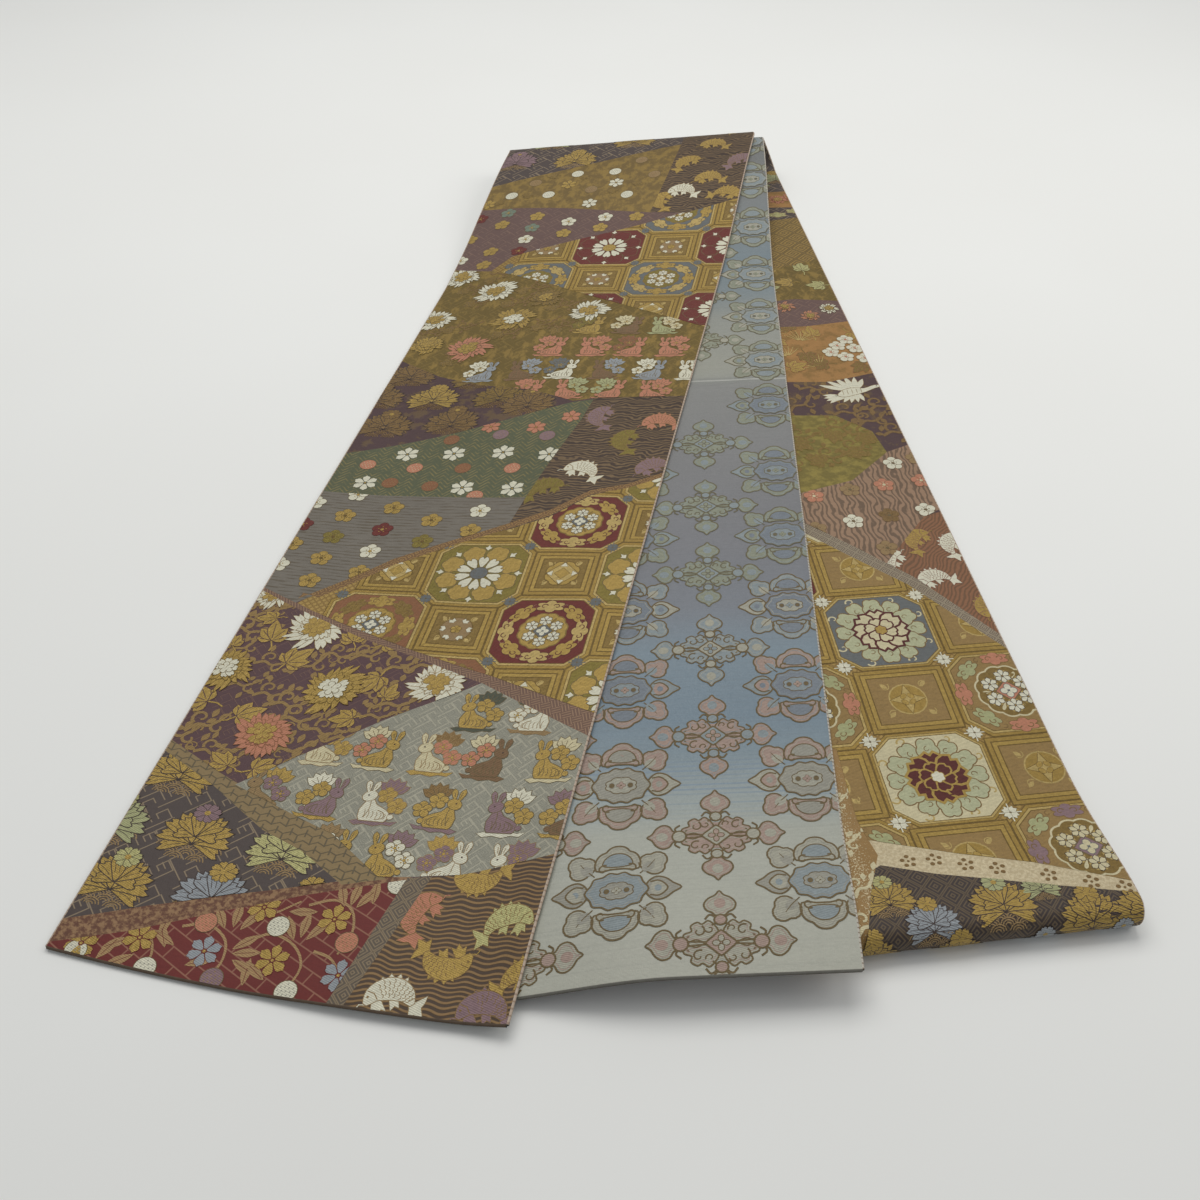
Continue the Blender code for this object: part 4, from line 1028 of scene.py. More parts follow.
    for x, y in ((28.5, 101.7), (31.0, 102.6), (26.0, 102.6)):
        out.append(("fret_dark", cloud("lemon", "tan", 1.3), x, y))
    for x, y in ((29.4, 106.0), (26.6, 105.6), (31.2, 106.6)):
        out.append(("orange", put(bloom("salmon", "gold", "rust", 1.2, 9, int(x))), x, y))
    for x, y in ((27.2, 110.4), (30.4, 112.2)):
        out.append(("fret_dark", put(lotus("leafgreen", "gold"), size=0.8), x, y))
    return out


def figures_lining():
    """The cross and the rose of the lining on their half-drop repeat; the silk's tones change along the strip."""
    out = []
    rows = ((2.3, "A"), (6.8, "B"), (11.2, "A"), (15.9, "B"), (20.2, "A"), (25.0, "B"), (29.1, "A"), (33.8, "B"), (38.0, "A"), (42.7, "B"), (47.0, "A"), (52.0, "B"),
            (56.6, "A"), (62.8, "B"), (71.0, "B"), (75.2, "A"), (80.0, "B"), (84.6, "A"), (89.4, "B"), (94.0, "A"), (98.8, "B"), (103.4, "A"),
            (108.2, "B"), (112.8, "A"), (117.4, "B"), (121.6, "A"))
    tones = (
        #  to v    fill     second   heart   edge
        (5.0,  "pearl", "pink", "silver", "outline"),
        (9.0,  "pearl", "silver", "mist", "outline"),
        (13.0, "pink", "pearl", "pink", "outline"),
        (18.0, "pink", "pearl", "silver", "outline"),
        (23.0, "pink", "mist", "pink", "outline"),
        (27.0, "pink", "mist", "dusk", "outline"),
        (36.0, "mist", "pearl", "dusk", "outline"),
        (66.0, "sage", "mist", "dusk", "outline2"),
        (130., "sage", "pearl", "mist", "outline2"),
    )
    for v, kind in rows:
        fill, second, heart, edge = next(t[1:] for t in tones if v <= t[0])
        for u in ((8.8, 22.2) if kind == "A" else (2.1, 15.5, 28.9)):
            if u < 31 * 0.0:
                continue
            figure = karahana_cross(fill, second, edge) if kind == "A" else karahana_rose(fill, second, heart, edge)
            out.append(("lining", figure, u, v))
    return out


# ---------------------------------------------------------------- flat layout to mesh
EDGE_IN = 0.14                # where the cloth's face starts to turn down to its selvedge, cm
UNIT = 0.00006                # one drawing level, metres


def inside(points, polygon):
    """Which of these points lie inside the polygon."""
    x, y = points[:, 0], points[:, 1]
    hit = np.zeros(len(points), bool)
    n = len(polygon)
    for i in range(n):
        (x0, y0), (x1, y1) = polygon[i], polygon[(i + 1) % n]
        if y0 == y1:
            continue
        cross = ((y0 > y) != (y1 > y)) & (x < (x1 - x0) * (y - y0) / (y1 - y0) + x0)
        hit ^= cross
    return hit


def clip_segment(p, q, box):
    (x0, y0), (x1, y1) = p, q
    t0, t1 = 0.0, 1.0
    for a, b, lo, hi in ((x0, x1 - x0, box[0], box[2]), (y0, y1 - y0, box[1], box[3])):
        if abs(b) < 1e-9:
            if a < lo or a > hi:
                return None
            continue
        u0, u1 = sorted(((lo - a) / b, (hi - a) / b))
        t0, t1 = max(t0, u0), min(t1, u1)
    if t1 - t0 < 1e-6:
        return None
    return (x0 + (x1 - x0) * t0, y0 + (y1 - y0) * t0), (x0 + (x1 - x0) * t1, y0 + (y1 - y0) * t1)


def v_lines(stretch, first, last):
    """Grid lines along the strip: 1 cm apart, closer round the folds and over the crease."""
    lines = []
    v = first
    while v < last - 1e-6:
        lines.append(v)
        step = 1.0
        if stretch in TURN:
            past = -v if stretch == "right" else v - LENGTH[stretch]
            if past > -0.6:
                step = 0.24 if stretch == "right" else 0.36
            elif stretch == "right" and v < 12:
                step = 0.6
        if stretch == "middle" and 63.5 < v < 70.5:
            step = 0.22
        v += step
    if last - lines[-1] < 0.12:
        lines.pop()
    return lines + [last]


def flat_sheet(stretch, first, last, patches, skip_motifs=False):
    """Triangles of a sheet in strip coordinates, each with its patch."""
    us = [EDGE_IN] + [1.0 * k for k in range(1, 31)] + [WIDE - EDGE_IN]
    vs = v_lines(stretch, first, last)
    grid = [(u, v) for v in vs for u in us]
    box = (us[0], first, us[-1], last)
    segments = []
    for _, polygon in patches[1:]:
        for i in range(len(polygon)):
            cut = clip_segment(polygon[i], polygon[(i + 1) % len(polygon)], box)
            if cut:
                segments.append(cut)
    rim = {us[0], us[-1], vs[0], vs[-1]}
    if segments:
        g = np.array(grid)
        keep = np.ones(len(g), bool)
        for (x0, y0), (x1, y1) in segments:
            dx, dy = x1 - x0, y1 - y0
            l2 = dx * dx + dy * dy
            t = np.clip(((g[:, 0] - x0) * dx + (g[:, 1] - y0) * dy) / l2, 0, 1)
            keep &= np.hypot(g[:, 0] - x0 - t * dx, g[:, 1] - y0 - t * dy) > 0.16
        edge = (g[:, 0] == us[0]) | (g[:, 0] == us[-1]) | (g[:, 1] == vs[0]) | (g[:, 1] == vs[-1])
        grid = [p for p, k in zip(grid, keep | edge) if k]
    points, edges = [Vector(p) for p in grid], []
    for p, q in segments:
        steps = max(1, int(math.hypot(q[0] - p[0], q[1] - p[1]) / 0.9))
        base = len(points)
        for k in range(steps + 1):
            points.append(Vector((mix(p[0], q[0], k / steps), mix(p[1], q[1], k / steps))))
        edges += [(base + k, base + k + 1) for k in range(steps)]
    verts, _, faces, *_ = delaunay_2d_cdt(points, edges, [], 0, 1e-4)
    p = np.array([(v.x, v.y) for v in verts])
    f = np.array([t for t in faces if len(t) == 3])
    a, b, c = p[f[:, 0]], p[f[:, 1]], p[f[:, 2]]
    area = (b[:, 0] - a[:, 0]) * (c[:, 1] - a[:, 1]) - (b[:, 1] - a[:, 1]) * (c[:, 0] - a[:, 0])
    f[area < 0] = f[area < 0][:, ::-1]
    f = f[np.abs(area) > 1e-7]
    middle = (p[f[:, 0]] + p[f[:, 1]] + p[f[:, 2]]) / 3
    patch = np.zeros(len(f), int)
    for k, (_, polygon) in enumerate(patches):
        if k:
            patch[inside(middle, polygon)] = k
    return p, f, patch, us, vs


def clip_to_triangle(polygon, tri):
    out = polygon
    for i in range(3):
        ax, ay = tri[i]
        bx, by = tri[(i + 1) % 3]
        ex, ey = bx - ax, by - ay
        inner = out
        if not inner:
            return None
        out = []
        px, py = inner[-1]
        ps = ex * (py - ay) - ey * (px - ax)
        for qx, qy in inner:
            qs = ex * (qy - ay) - ey * (qx - ax)
            if qs >= 0:
                if ps < 0:
                    t = ps / (ps - qs)
                    out.append((px + (qx - px) * t, py + (qy - py) * t))
                out.append((qx, qy))
            elif ps >= 0:
                t = ps / (ps - qs)
                out.append((px + (qx - px) * t, py + (qy - py) * t))
            px, py, ps = qx, qy, qs
    return out if len(out) > 2 else None


def convex_parts(points):
    """The outline as convex pieces, all turning left."""
    n = len(points)
    area = sum(points[i][0] * points[(i + 1) % n][1] - points[(i + 1) % n][0] * points[i][1] for i in range(n))
    if abs(area) < 1e-7:
        return []
    if area < 0:
        points = points[::-1]
    bent = False
    for i in range(n):
        ax, ay = points[i - 2]
        bx, by = points[i - 1]
        cx, cy = points[i]
        if (bx - ax) * (cy - by) - (by - ay) * (cx - bx) < -1e-9:
            bent = True
            break
    if not bent:
        return [points]
    out = []
    for a, b, c in tessellate_polygon([[Vector((x, y, 0)) for x, y in points]]):
        t = [points[a], points[b], points[c]]
        s = (t[1][0] - t[0][0]) * (t[2][1] - t[0][1]) - (t[1][1] - t[0][1]) * (t[2][0] - t[0][0])
        if abs(s) > 1e-7:
            out.append(t if s > 0 else t[::-1])
    return out


def thinned(points, off=0.012):
    """The outline without the points that lie within off of the straight line past them."""
    if len(points) < 6:
        return points
    out, held = [points[0]], []
    for i in range(1, len(points)):
        ax, ay = out[-1]
        bx, by = points[i]
        cx, cy = points[(i + 1) % len(points)]
        dx, dy = cx - ax, cy - ay
        d = math.hypot(dx, dy)
        trial = held + [(bx, by)]
        if d > 1e-6 and all(abs(dx * (qy - ay) - dy * (qx - ax)) < off * d and 0 < dx * (qx - ax) + dy * (qy - ay) < d * d for qx, qy in trial):
            held = trial
        else:
            out.append((bx, by))
            held = []
    return out if len(out) > 2 else points


def cut_figures(figures, p, f, patch, patches, keep=None):
    """Every figure's pieces, cut by the sheet's own triangles and kept on their patch."""
    tri = [[tuple(p[i]) for i in t] for t in f]
    lows = p[f].min(1)
    highs = p[f].max(1)
    cells = {}
    for k in range(len(f)):
        for i in range(int(lows[k, 0]), int(highs[k, 0]) + 1):
            for j in range(math.floor(lows[k, 1]), math.floor(highs[k, 1]) + 1):
                cells.setdefault((i, j), []).append(k)
    names = [name for name, _ in patches]
    lows, highs, patch_of = lows.tolist(), highs.tolist(), patch.tolist()
    out = []
    for number, (name, items, x, y) in enumerate(figures):
        wanted = {k for k, n in enumerate(names) if n == name}
        if keep is not None and not keep(x, y):
            continue
        for order, (points, colour, level) in enumerate(items):
            level = level + 0.13 * (number % 9) + 0.014 * (order % 12)      # nothing that overlaps shares a height
            for part in convex_parts(thinned([(px + x, py + y) for px, py in points])):
                x0 = min(q[0] for q in part)
                x1 = max(q[0] for q in part)
                y0 = min(q[1] for q in part)
                y1 = max(q[1] for q in part)
                seen = set()
                for i in range(max(0, int(x0)), min(31, int(x1)) + 1):
                    for j in range(math.floor(y0), math.floor(y1) + 1):
                        for k in cells.get((i, j), ()):
                            if k in seen or patch_of[k] not in wanted:
                                continue
                            seen.add(k)
                            lo, hi = lows[k], highs[k]
                            if hi[0] < x0 or lo[0] > x1 or hi[1] < y0 or lo[1] > y1:
                                continue
                            cut = clip_to_triangle(part, tri[k])
                            if cut:
                                out.append((cut, colour, level))
    return out


def new_mesh(name, coords, faces, strip, materials, slots, colours=None):
    mesh = bpy.data.meshes.new(name)
    mesh.from_pydata(coords.tolist() if hasattr(coords, "tolist") else coords, [], faces)
    for m in materials:
        mesh.materials.append(m)
    mesh.polygons.foreach_set("material_index", slots)
    mesh.polygons.foreach_set("use_smooth", [True] * len(mesh.polygons))
    data = mesh.attributes.new("strip", "FLOAT_VECTOR", "POINT")
    flat = np.zeros((len(coords), 3), np.float32)
    flat[:, :2] = strip
    data.data.foreach_set("vector", flat.ravel())
    if colours is not None:
        data = mesh.color_attributes.new("thread", "FLOAT_COLOR", "POINT")
        data.data.foreach_set("color", np.asarray(colours, np.float32).ravel())
    mesh.update()
    made = bpy.data.objects.new(name, mesh)
    bpy.context.scene.collection.objects.link(made)
    return made


def face_alike(mesh):
    """Turns every face the way the first one faces."""
    first = mesh.polygons[0].normal.copy()
    work = bmesh.new()
    work.from_mesh(mesh)
    bmesh.ops.recalc_face_normals(work, faces=work.faces)
    work.faces.ensure_lookup_table()
    if work.faces[0].normal.dot(first) < 0:
        bmesh.ops.reverse_faces(work, faces=work.faces)
    work.to_mesh(mesh)
    work.free()
    mesh.update()


def cloth_sheet(name, stretch, side, first, last, patches, grounds, ends=(True, False)):
    """One cloth of the double strip as a thin shell. side is +1 for the cloth that shows and -1 for the one under it.
    Its selvedges, and the ends that are cut, turn over to the seam, and the turned ends are coloured with painted
    shade."""
    p, f, patch, us, vs = flat_sheet(stretch, first, last, patches)
    lift = side * CLOTH / 2
    coords = [on_surface(stretch, p[:, 0], p[:, 1], np.full(len(p), lift))]
    strip = [p]
    faces = [tuple(t) if side > 0 else tuple(t[::-1]) for t in f.tolist()]
    names = []
    for n, _ in patches:
        g = n.rstrip("0123456789")
        if g not in names:
            names.append(g)
    slots = [names.index(patches[k][0].rstrip("0123456789")) for k in patch]
    base = len(p)
    # the rolled edges: a quarter turn from the cloth's face down to the seam
    turn = [(0.45, 0.94), (0.80, 0.66), (0.97, 0.34), (1.0, 0.06)]
    rims = []
    side_order = lambda pts, axis: pts[np.argsort(pts[:, axis])]
    left = side_order(p[np.abs(p[:, 0] - us[0]) < 1e-5], 1)
    right = side_order(p[np.abs(p[:, 0] - us[-1]) < 1e-5], 1)
    near = side_order(p[np.abs(p[:, 1] - vs[0]) < 1e-5], 0)
    far = side_order(p[np.abs(p[:, 1] - vs[-1]) < 1e-5], 0)
    rims.append((left, (-1, 0), False))
    rims.append((right, (1, 0), True))
    if ends[0]:
        rims.append((near, (0, -1), True))
    if ends[1]:
        rims.append((far, (0, 1), False))
    for line, (du, dv), flip in rims:
        rows = [(line, np.full(len(line), lift))]
        for out, down in turn:
            rows.append((line + np.array((du, dv)) * (EDGE_IN if du else 0.14) * out, np.full(len(line), lift * down)))
        n = len(line)
        for k, (uv, up) in enumerate(rows):
            uv2 = uv.copy()
            at = on_surface(stretch, uv2[:, 0], uv2[:, 1], up)
            coords.append(at)
            strip.append(uv2)
        for k in range(len(rows) - 1):
            for i in range(n - 1):
                a, b = base + k * n + i, base + k * n + i + 1
                c, d = a + n, b + n
                faces.append((a, b, d, c))
                # turned ends take the end material, which is painted shade; selvedges take the selvedge weave
                slots.append(len(names) + (1 if dv else 0))
        base += len(rows) * n
    coords, strip = np.concatenate(coords), np.concatenate(strip)
    # the seam points of the rims join the face's own edge points
    key = np.round(coords * 1e6).astype(np.int64)
    _, index, inverse = np.unique(key, axis=0, return_index=True, return_inverse=True)
    inverse = inverse.reshape(-1)
    faces = [tuple(int(inverse[i]) for i in q) for q in faces]
    good = [k for k, q in enumerate(faces) if len(set(q)) == len(q)]
    made = new_mesh(name, coords[index], [faces[k] for k in good], strip[index], [grounds[n] for n in names] + [grounds["selvedge"], grounds["cut_end"]], [slots[k] for k in good])
    face_alike(made.data)
    return made, (p, f, patch)


def figure_piece(name, stretch, figures, sheet_data, patches, materials, keep=None):
    """The woven figures of a sheet as one joined piece of raised floats."""
    p, f, patch = sheet_data
    parts = cut_figures(figures, p, f, patch, patches, keep)
    keys = sorted({c for _, c, _ in parts})
    number = {c: i for i, c in enumerate(keys)}
    pts, level, colour, faces, slots = [], [], [], [], []
    for points, c, z in parts:
        base = len(pts)
        pts += points
        level += [z] * len(points)
        colour += [number[c]] * len(points)
        faces.append(range(base, base + len(points)))
        slots.append(1 if c in METALLIC else 0)
    pts = np.array(pts)
    level, colour = np.array(level), np.array(colour)
    key = np.stack([np.round(pts[:, 0] * 2e3), np.round(pts[:, 1] * 2e3), np.round(level * 100), colour], 1).astype(np.int64)
    _, index, inverse = np.unique(key, axis=0, return_index=True, return_inverse=True)
    inverse = inverse.reshape(-1)
    merged, kept = [], []
    for k, face in enumerate(faces):
        ids = [int(inverse[i]) for i in face]
        ids = [a for a, b in zip(ids, ids[1:] + ids[:1]) if a != b]
        if len(ids) > 2 and len(set(ids)) == len(ids):
            merged.append(ids)
            kept.append(slots[k])
    pts, level, colour = pts[index], level[index], colour[index]
    coords = on_surface(stretch, pts[:, 0], pts[:, 1], CLOTH / 2 + 0.00010 + UNIT * level)
    table = np.array([linear(COLOURS[c]) + [1.0] for c in keys])
    made = new_mesh(name, coords, merged, pts, materials, kept, table[colour])
    print(name, "faces", len(merged), "points", len(pts))
    return made


# ---------------------------------------------------------------- materials
class Cloth:
    """A woven material. Its nodes read the strip coordinates, in centimetres, so the weave runs along the cloth round every fold."""

    def __init__(self, name, rough=0.55, metallic=0.0, sheen=0.04, tint=(200, 190, 170), specular=0.28):
        self.material = bpy.data.materials.new(name)
        self.material.use_nodes = True
        self.tree = self.material.node_tree
        self.shader = self.tree.nodes["Principled BSDF"]
        self.shader.inputs["Roughness"].default_value = rough
        self.shader.inputs["Metallic"].default_value = metallic
        self.shader.inputs["Sheen Weight"].default_value = sheen
        self.shader.inputs["Sheen Roughness"].default_value = 0.45
        self.shader.inputs["Sheen Tint"].default_value = (*linear(tint), 1)
        self.shader.inputs["Specular IOR Level"].default_value = specular
        at = self.tree.nodes.new("ShaderNodeAttribute")
        at.attribute_name = "strip"
        self.place = at.outputs["Vector"]
        part = self.tree.nodes.new("ShaderNodeSeparateXYZ")
        self.tree.links.new(self.place, part.inputs[0])
        self.u, self.v = part.outputs[0], part.outputs[1]

    def feed(self, socket, value):
        if isinstance(value, (int, float)):
            socket.default_value = value
        elif isinstance(value, (tuple, list)):
            socket.default_value = value if len(value) == len(socket.default_value) else (*value, 1.0)
        else:
            self.tree.links.new(value, socket)

    def op(self, kind, *values):
        node = self.tree.nodes.new("ShaderNodeMath")
        node.operation = kind
        for socket, value in zip(node.inputs, values):
            self.feed(socket, value)
        return node.outputs[0]

    def add(self, a, b):
        return self.op("ADD", a, b)

    def mul(self, a, b):
        return self.op("MULTIPLY", a, b)

    def step(self, low, high, value):
        node = self.tree.nodes.new("ShaderNodeMapRange")
        node.interpolation_type = "SMOOTHSTEP"
        for socket, v in zip(node.inputs[:3], (value, low, high)):
            self.feed(socket, v)
        return node.outputs[0]

    def lines(self, coordinate, pitch, duty=0.5, soft=0.12):
        """1 on lines that are duty of each pitch wide, 0 between them."""
        saw = self.op("FRACT", self.mul(coordinate, 1.0 / pitch))
        tri = self.mul(self.op("ABSOLUTE", self.add(saw, -0.5)), 2.0)
        return self.step(duty + soft, duty - soft, tri)

    def wave(self, coordinate, length, height, phase=0.0):
        return self.mul(self.op("SINE", self.add(self.mul(coordinate, 2 * math.pi / length), phase)), height)

    def noise(self, su, sv, detail=2.0, rough=0.5, scale=1.0, distortion=0.0):
        stretch = self.tree.nodes.new("ShaderNodeVectorMath")
        stretch.operation = "MULTIPLY"
        self.tree.links.new(self.place, stretch.inputs[0])
        stretch.inputs[1].default_value = (su, sv, 1.0)
        node = self.tree.nodes.new("ShaderNodeTexNoise")
        self.tree.links.new(stretch.outputs[0], node.inputs["Vector"])
        node.inputs["Scale"].default_value = scale
        node.inputs["Detail"].default_value = detail
        node.inputs["Roughness"].default_value = rough
        node.inputs["Distortion"].default_value = distortion
        return node.outputs["Fac"]

    def blend(self, fac, a, b, mode="MIX"):
        node = self.tree.nodes.new("ShaderNodeMix")
        node.data_type = "RGBA"
        node.blend_type = mode
        self.feed(node.inputs[0], fac)
        self.feed(node.inputs[6], a)
        self.feed(node.inputs[7], b)
        return node.outputs[2]

    def both(self, a, b):
        return self.op("MAXIMUM", a, b)

    def turned_axes(self, angle):
        c, s = math.cos(math.radians(angle)), math.sin(math.radians(angle))
        return self.add(self.mul(self.u, c), self.mul(self.v, s)), self.add(self.mul(self.v, c), self.mul(self.u, -s))

    def fret(self, size, angle=45.0, bars=3, duty=0.42):
        """Interlocking bars: groups of lines that turn a right angle from cell to cell."""
        a, b = self.turned_axes(angle)
        parity = self.op("MODULO", self.op("ABSOLUTE", self.add(self.op("FLOOR", self.mul(a, 1 / size)), self.op("FLOOR", self.mul(b, 1 / size)))), 2.0)
        one, two = self.lines(a, size / bars, duty), self.lines(b, size / bars, duty)
        return self.add(self.mul(one, parity), self.mul(two, self.add(1.0, self.mul(parity, -1.0))))

    def close(self, colour, relief=None, depth=0.5, thread=0.16, mottle=0.16, rib=11.0):
        """Thread-scale variation, soft unevenness and relief, common to every cloth here."""
        yarn = self.noise(rib * 0.35, rib, 2.0, 0.6)
        warp = self.noise(rib, rib * 0.30, 1.0, 0.5)
        soft = self.noise(0.16, 0.10, 3.0, 0.5)
        slub = self.noise(rib * 0.12, rib * 0.34, 1.0, 0.5)
        value = self.add(self.mul(self.add(slub, -0.5), thread * 1.3), self.add(self.add(self.mul(self.add(yarn, -0.5), thread * 1.9), self.mul(self.add(warp, -0.5), thread)), self.add(self.mul(self.add(soft, -0.5), mottle * 1.4), 1.0)))
        grey = self.tree.nodes.new("ShaderNodeCombineColor")
        for k in range(3):
            self.tree.links.new(value, grey.inputs[k])
        out = self.blend(1.0, colour, grey.outputs[0], "MULTIPLY")
        self.tree.links.new(out, self.shader.inputs["Base Color"])
        height = self.add(self.mul(yarn, 0.5), self.mul(warp, 0.35))
        if relief is not None:
            height = self.add(height, self.mul(relief, depth))
        bump = self.tree.nodes.new("ShaderNodeBump")
        bump.inputs["Strength"].default_value = 0.6
        bump.inputs["Distance"].default_value = 0.0004
        self.tree.links.new(height, bump.inputs["Height"])
        self.tree.links.new(bump.outputs[0], self.shader.inputs["Normal"])
        return self.material


def two_tone(name, back, line, draw, rough=0.55, metallic=0.0, depth=0.5, **more):
    """A ground of two woven colours; draw(cloth) gives where the second one shows."""
    cloth = Cloth(name, rough, metallic, **{k: v for k, v in more.items() if k in ("sheen", "specular")})
    mask = draw(cloth)
    colour = cloth.blend(mask, (*linear(back), 1), (*linear(line), 1))
    return cloth.close(colour, mask, depth, **{k: v for k, v in more.items() if k in ("thread", "mottle", "rib")})


def brick_lines(c):
    a, b = c.turned_axes(-24)
    rows = c.lines(b, 0.95, 0.10, 0.06)
    shift = c.mul(c.op("MODULO", c.op("ABSOLUTE", c.op("FLOOR", c.add(c.mul(b, 1 / 0.95), 0.5))), 2.0), 1.1)
    posts = c.lines(c.add(a, shift), 2.2, 0.045, 0.03)
    return c.mul(c.both(rows, posts), 0.75)


def water(c, pitch=0.56, height=0.15, length=2.3, duty=0.50):
    wander = c.mul(c.add(c.noise(0.35, 0.5, 1.0), -0.5), 0.5)
    return c.lines(c.add(c.add(c.v, c.wave(c.u, length, height)), wander), pitch, duty, 0.16)


KEY = ((0.0, 0.0, 5.4, 0.0), (5.4, 0.0, 5.4, 2.6), (3.1, 2.6, 5.4, 2.6), (3.1, 1.3, 3.1, 2.6), (4.0, 4.0, 9.4, 4.0), (9.4, 4.0, 9.4, 6.6), (7.1, 6.6, 9.4, 6.6), (7.1, 5.3, 7.1, 6.6),
       (1.7, 1.2, 1.7, 6.7), (1.7, 6.7, 3.9, 6.7), (3.9, 5.4, 3.9, 6.7), (5.7, 5.2, 5.7, 7.9), (0.3, 5.2, 0.3, 6.7))


def key_lines(c, size, duty):
    """A key fret on a chart of eight by eight units, turned to the bias; each stroke is (from, to) along one axis."""
    a, b = c.turned_axes(45)
    a, b = c.mul(a, 1 / (8 * size)), c.mul(b, 1 / (8 * size))
    out = None
    for x0, y0, x1, y1 in KEY:
        away = []
        for axis, low, high in ((a, x0, x1), (b, y0, y1)):
            off = c.op("ABSOLUTE", c.add(c.op("FRACT", c.add(axis, 0.5 - (low + high) / 16)), -0.5))
            half = (high - low) / 16 + duty / 8
            away.append(c.step(half + 0.006, half - 0.006, off))
        stroke = c.mul(away[0], away[1])
        out = stroke if out is None else c.both(out, stroke)
    return out


def rough_water(c):
    wander = c.mul(c.add(c.noise(0.5, 0.7, 2.0), -0.5), 1.6)
    return c.lines(c.add(c.add(c.v, c.wave(c.u, 2.6, 0.14)), wander), 0.38, 0.42, 0.18)


def upright_water(c, pitch=0.52):
    wander = c.mul(c.add(c.noise(0.9, 0.45, 2.0), -0.5), 1.5)
    return c.lines(c.add(c.add(c.u, c.wave(c.v, 2.6, 0.12)), wander), pitch, 0.42, 0.16)


def dashes(c):
    broken = c.step(0.45, 0.60, c.noise(0.6, 9.0, 2.0))
    return c.mul(broken, c.lines(c.v, 0.42, 0.5, 0.3))


def herring(c):
    zig = c.mul(c.op("PINGPONG", c.u, 0.75), 1.1)
    return c.mul(c.lines(c.add(c.v, zig), 0.52, 0.36, 0.14), c.step(0.35, 0.62, c.noise(1.4, 1.2, 2.0)))


def net(size, duty=0.16, angle=45.0):
    def draw(c):
        a, b = c.turned_axes(angle)
        return c.both(c.lines(a, size, duty, 0.07), c.lines(b, size, duty, 0.07))
    return draw


def lozenges(size):
    def draw(c):
        a, b = c.turned_axes(45)
        a = c.add(c.mul(a, 1.0), c.mul(b, 0.0))
        cell = c.both(c.mul(c.op("ABSOLUTE", c.add(c.op("FRACT", c.mul(a, 1 / size)), -0.5)), 2.0), c.mul(c.op("ABSOLUTE", c.add(c.op("FRACT", c.mul(b, 1 / size)), -0.5)), 2.0))
        return c.lines(cell, 0.36, 0.42, 0.14)
    return draw


def hexes(c):
    a, b = c.turned_axes(45)
    rows = c.op("FLOOR", c.mul(c.v, 1 / 0.62))
    x = c.add(c.u, c.mul(c.op("MODULO", c.op("ABSOLUTE", rows), 2.0), 0.55))
    posts = c.lines(x, 1.1, 0.10, 0.06)
    bars = c.lines(c.add(c.v, c.mul(c.op("PINGPONG", c.u, 0.55), 0.45)), 0.62, 0.14, 0.08)
    return c.both(posts, bars)


def scales(c):
    rows = c.op("FLOOR", c.mul(c.v, 1 / 0.5))
    x = c.add(c.u, c.mul(c.op("MODULO", c.op("ABSOLUTE", rows), 2.0), 0.5))
    fx = c.add(c.op("FRACT", x), -0.5)
    fy = c.op("FRACT", c.mul(c.v, 1 / 0.5))
    r = c.op("SQRT", c.add(c.mul(fx, fx), c.mul(c.mul(fy, fy), 0.25)))
    return c.lines(r, 0.24, 0.35, 0.15)


def speckle(low, high, su=1.6, sv=1.6):
    return lambda c: c.step(low, high, c.noise(su, sv, 4.0, 0.65))


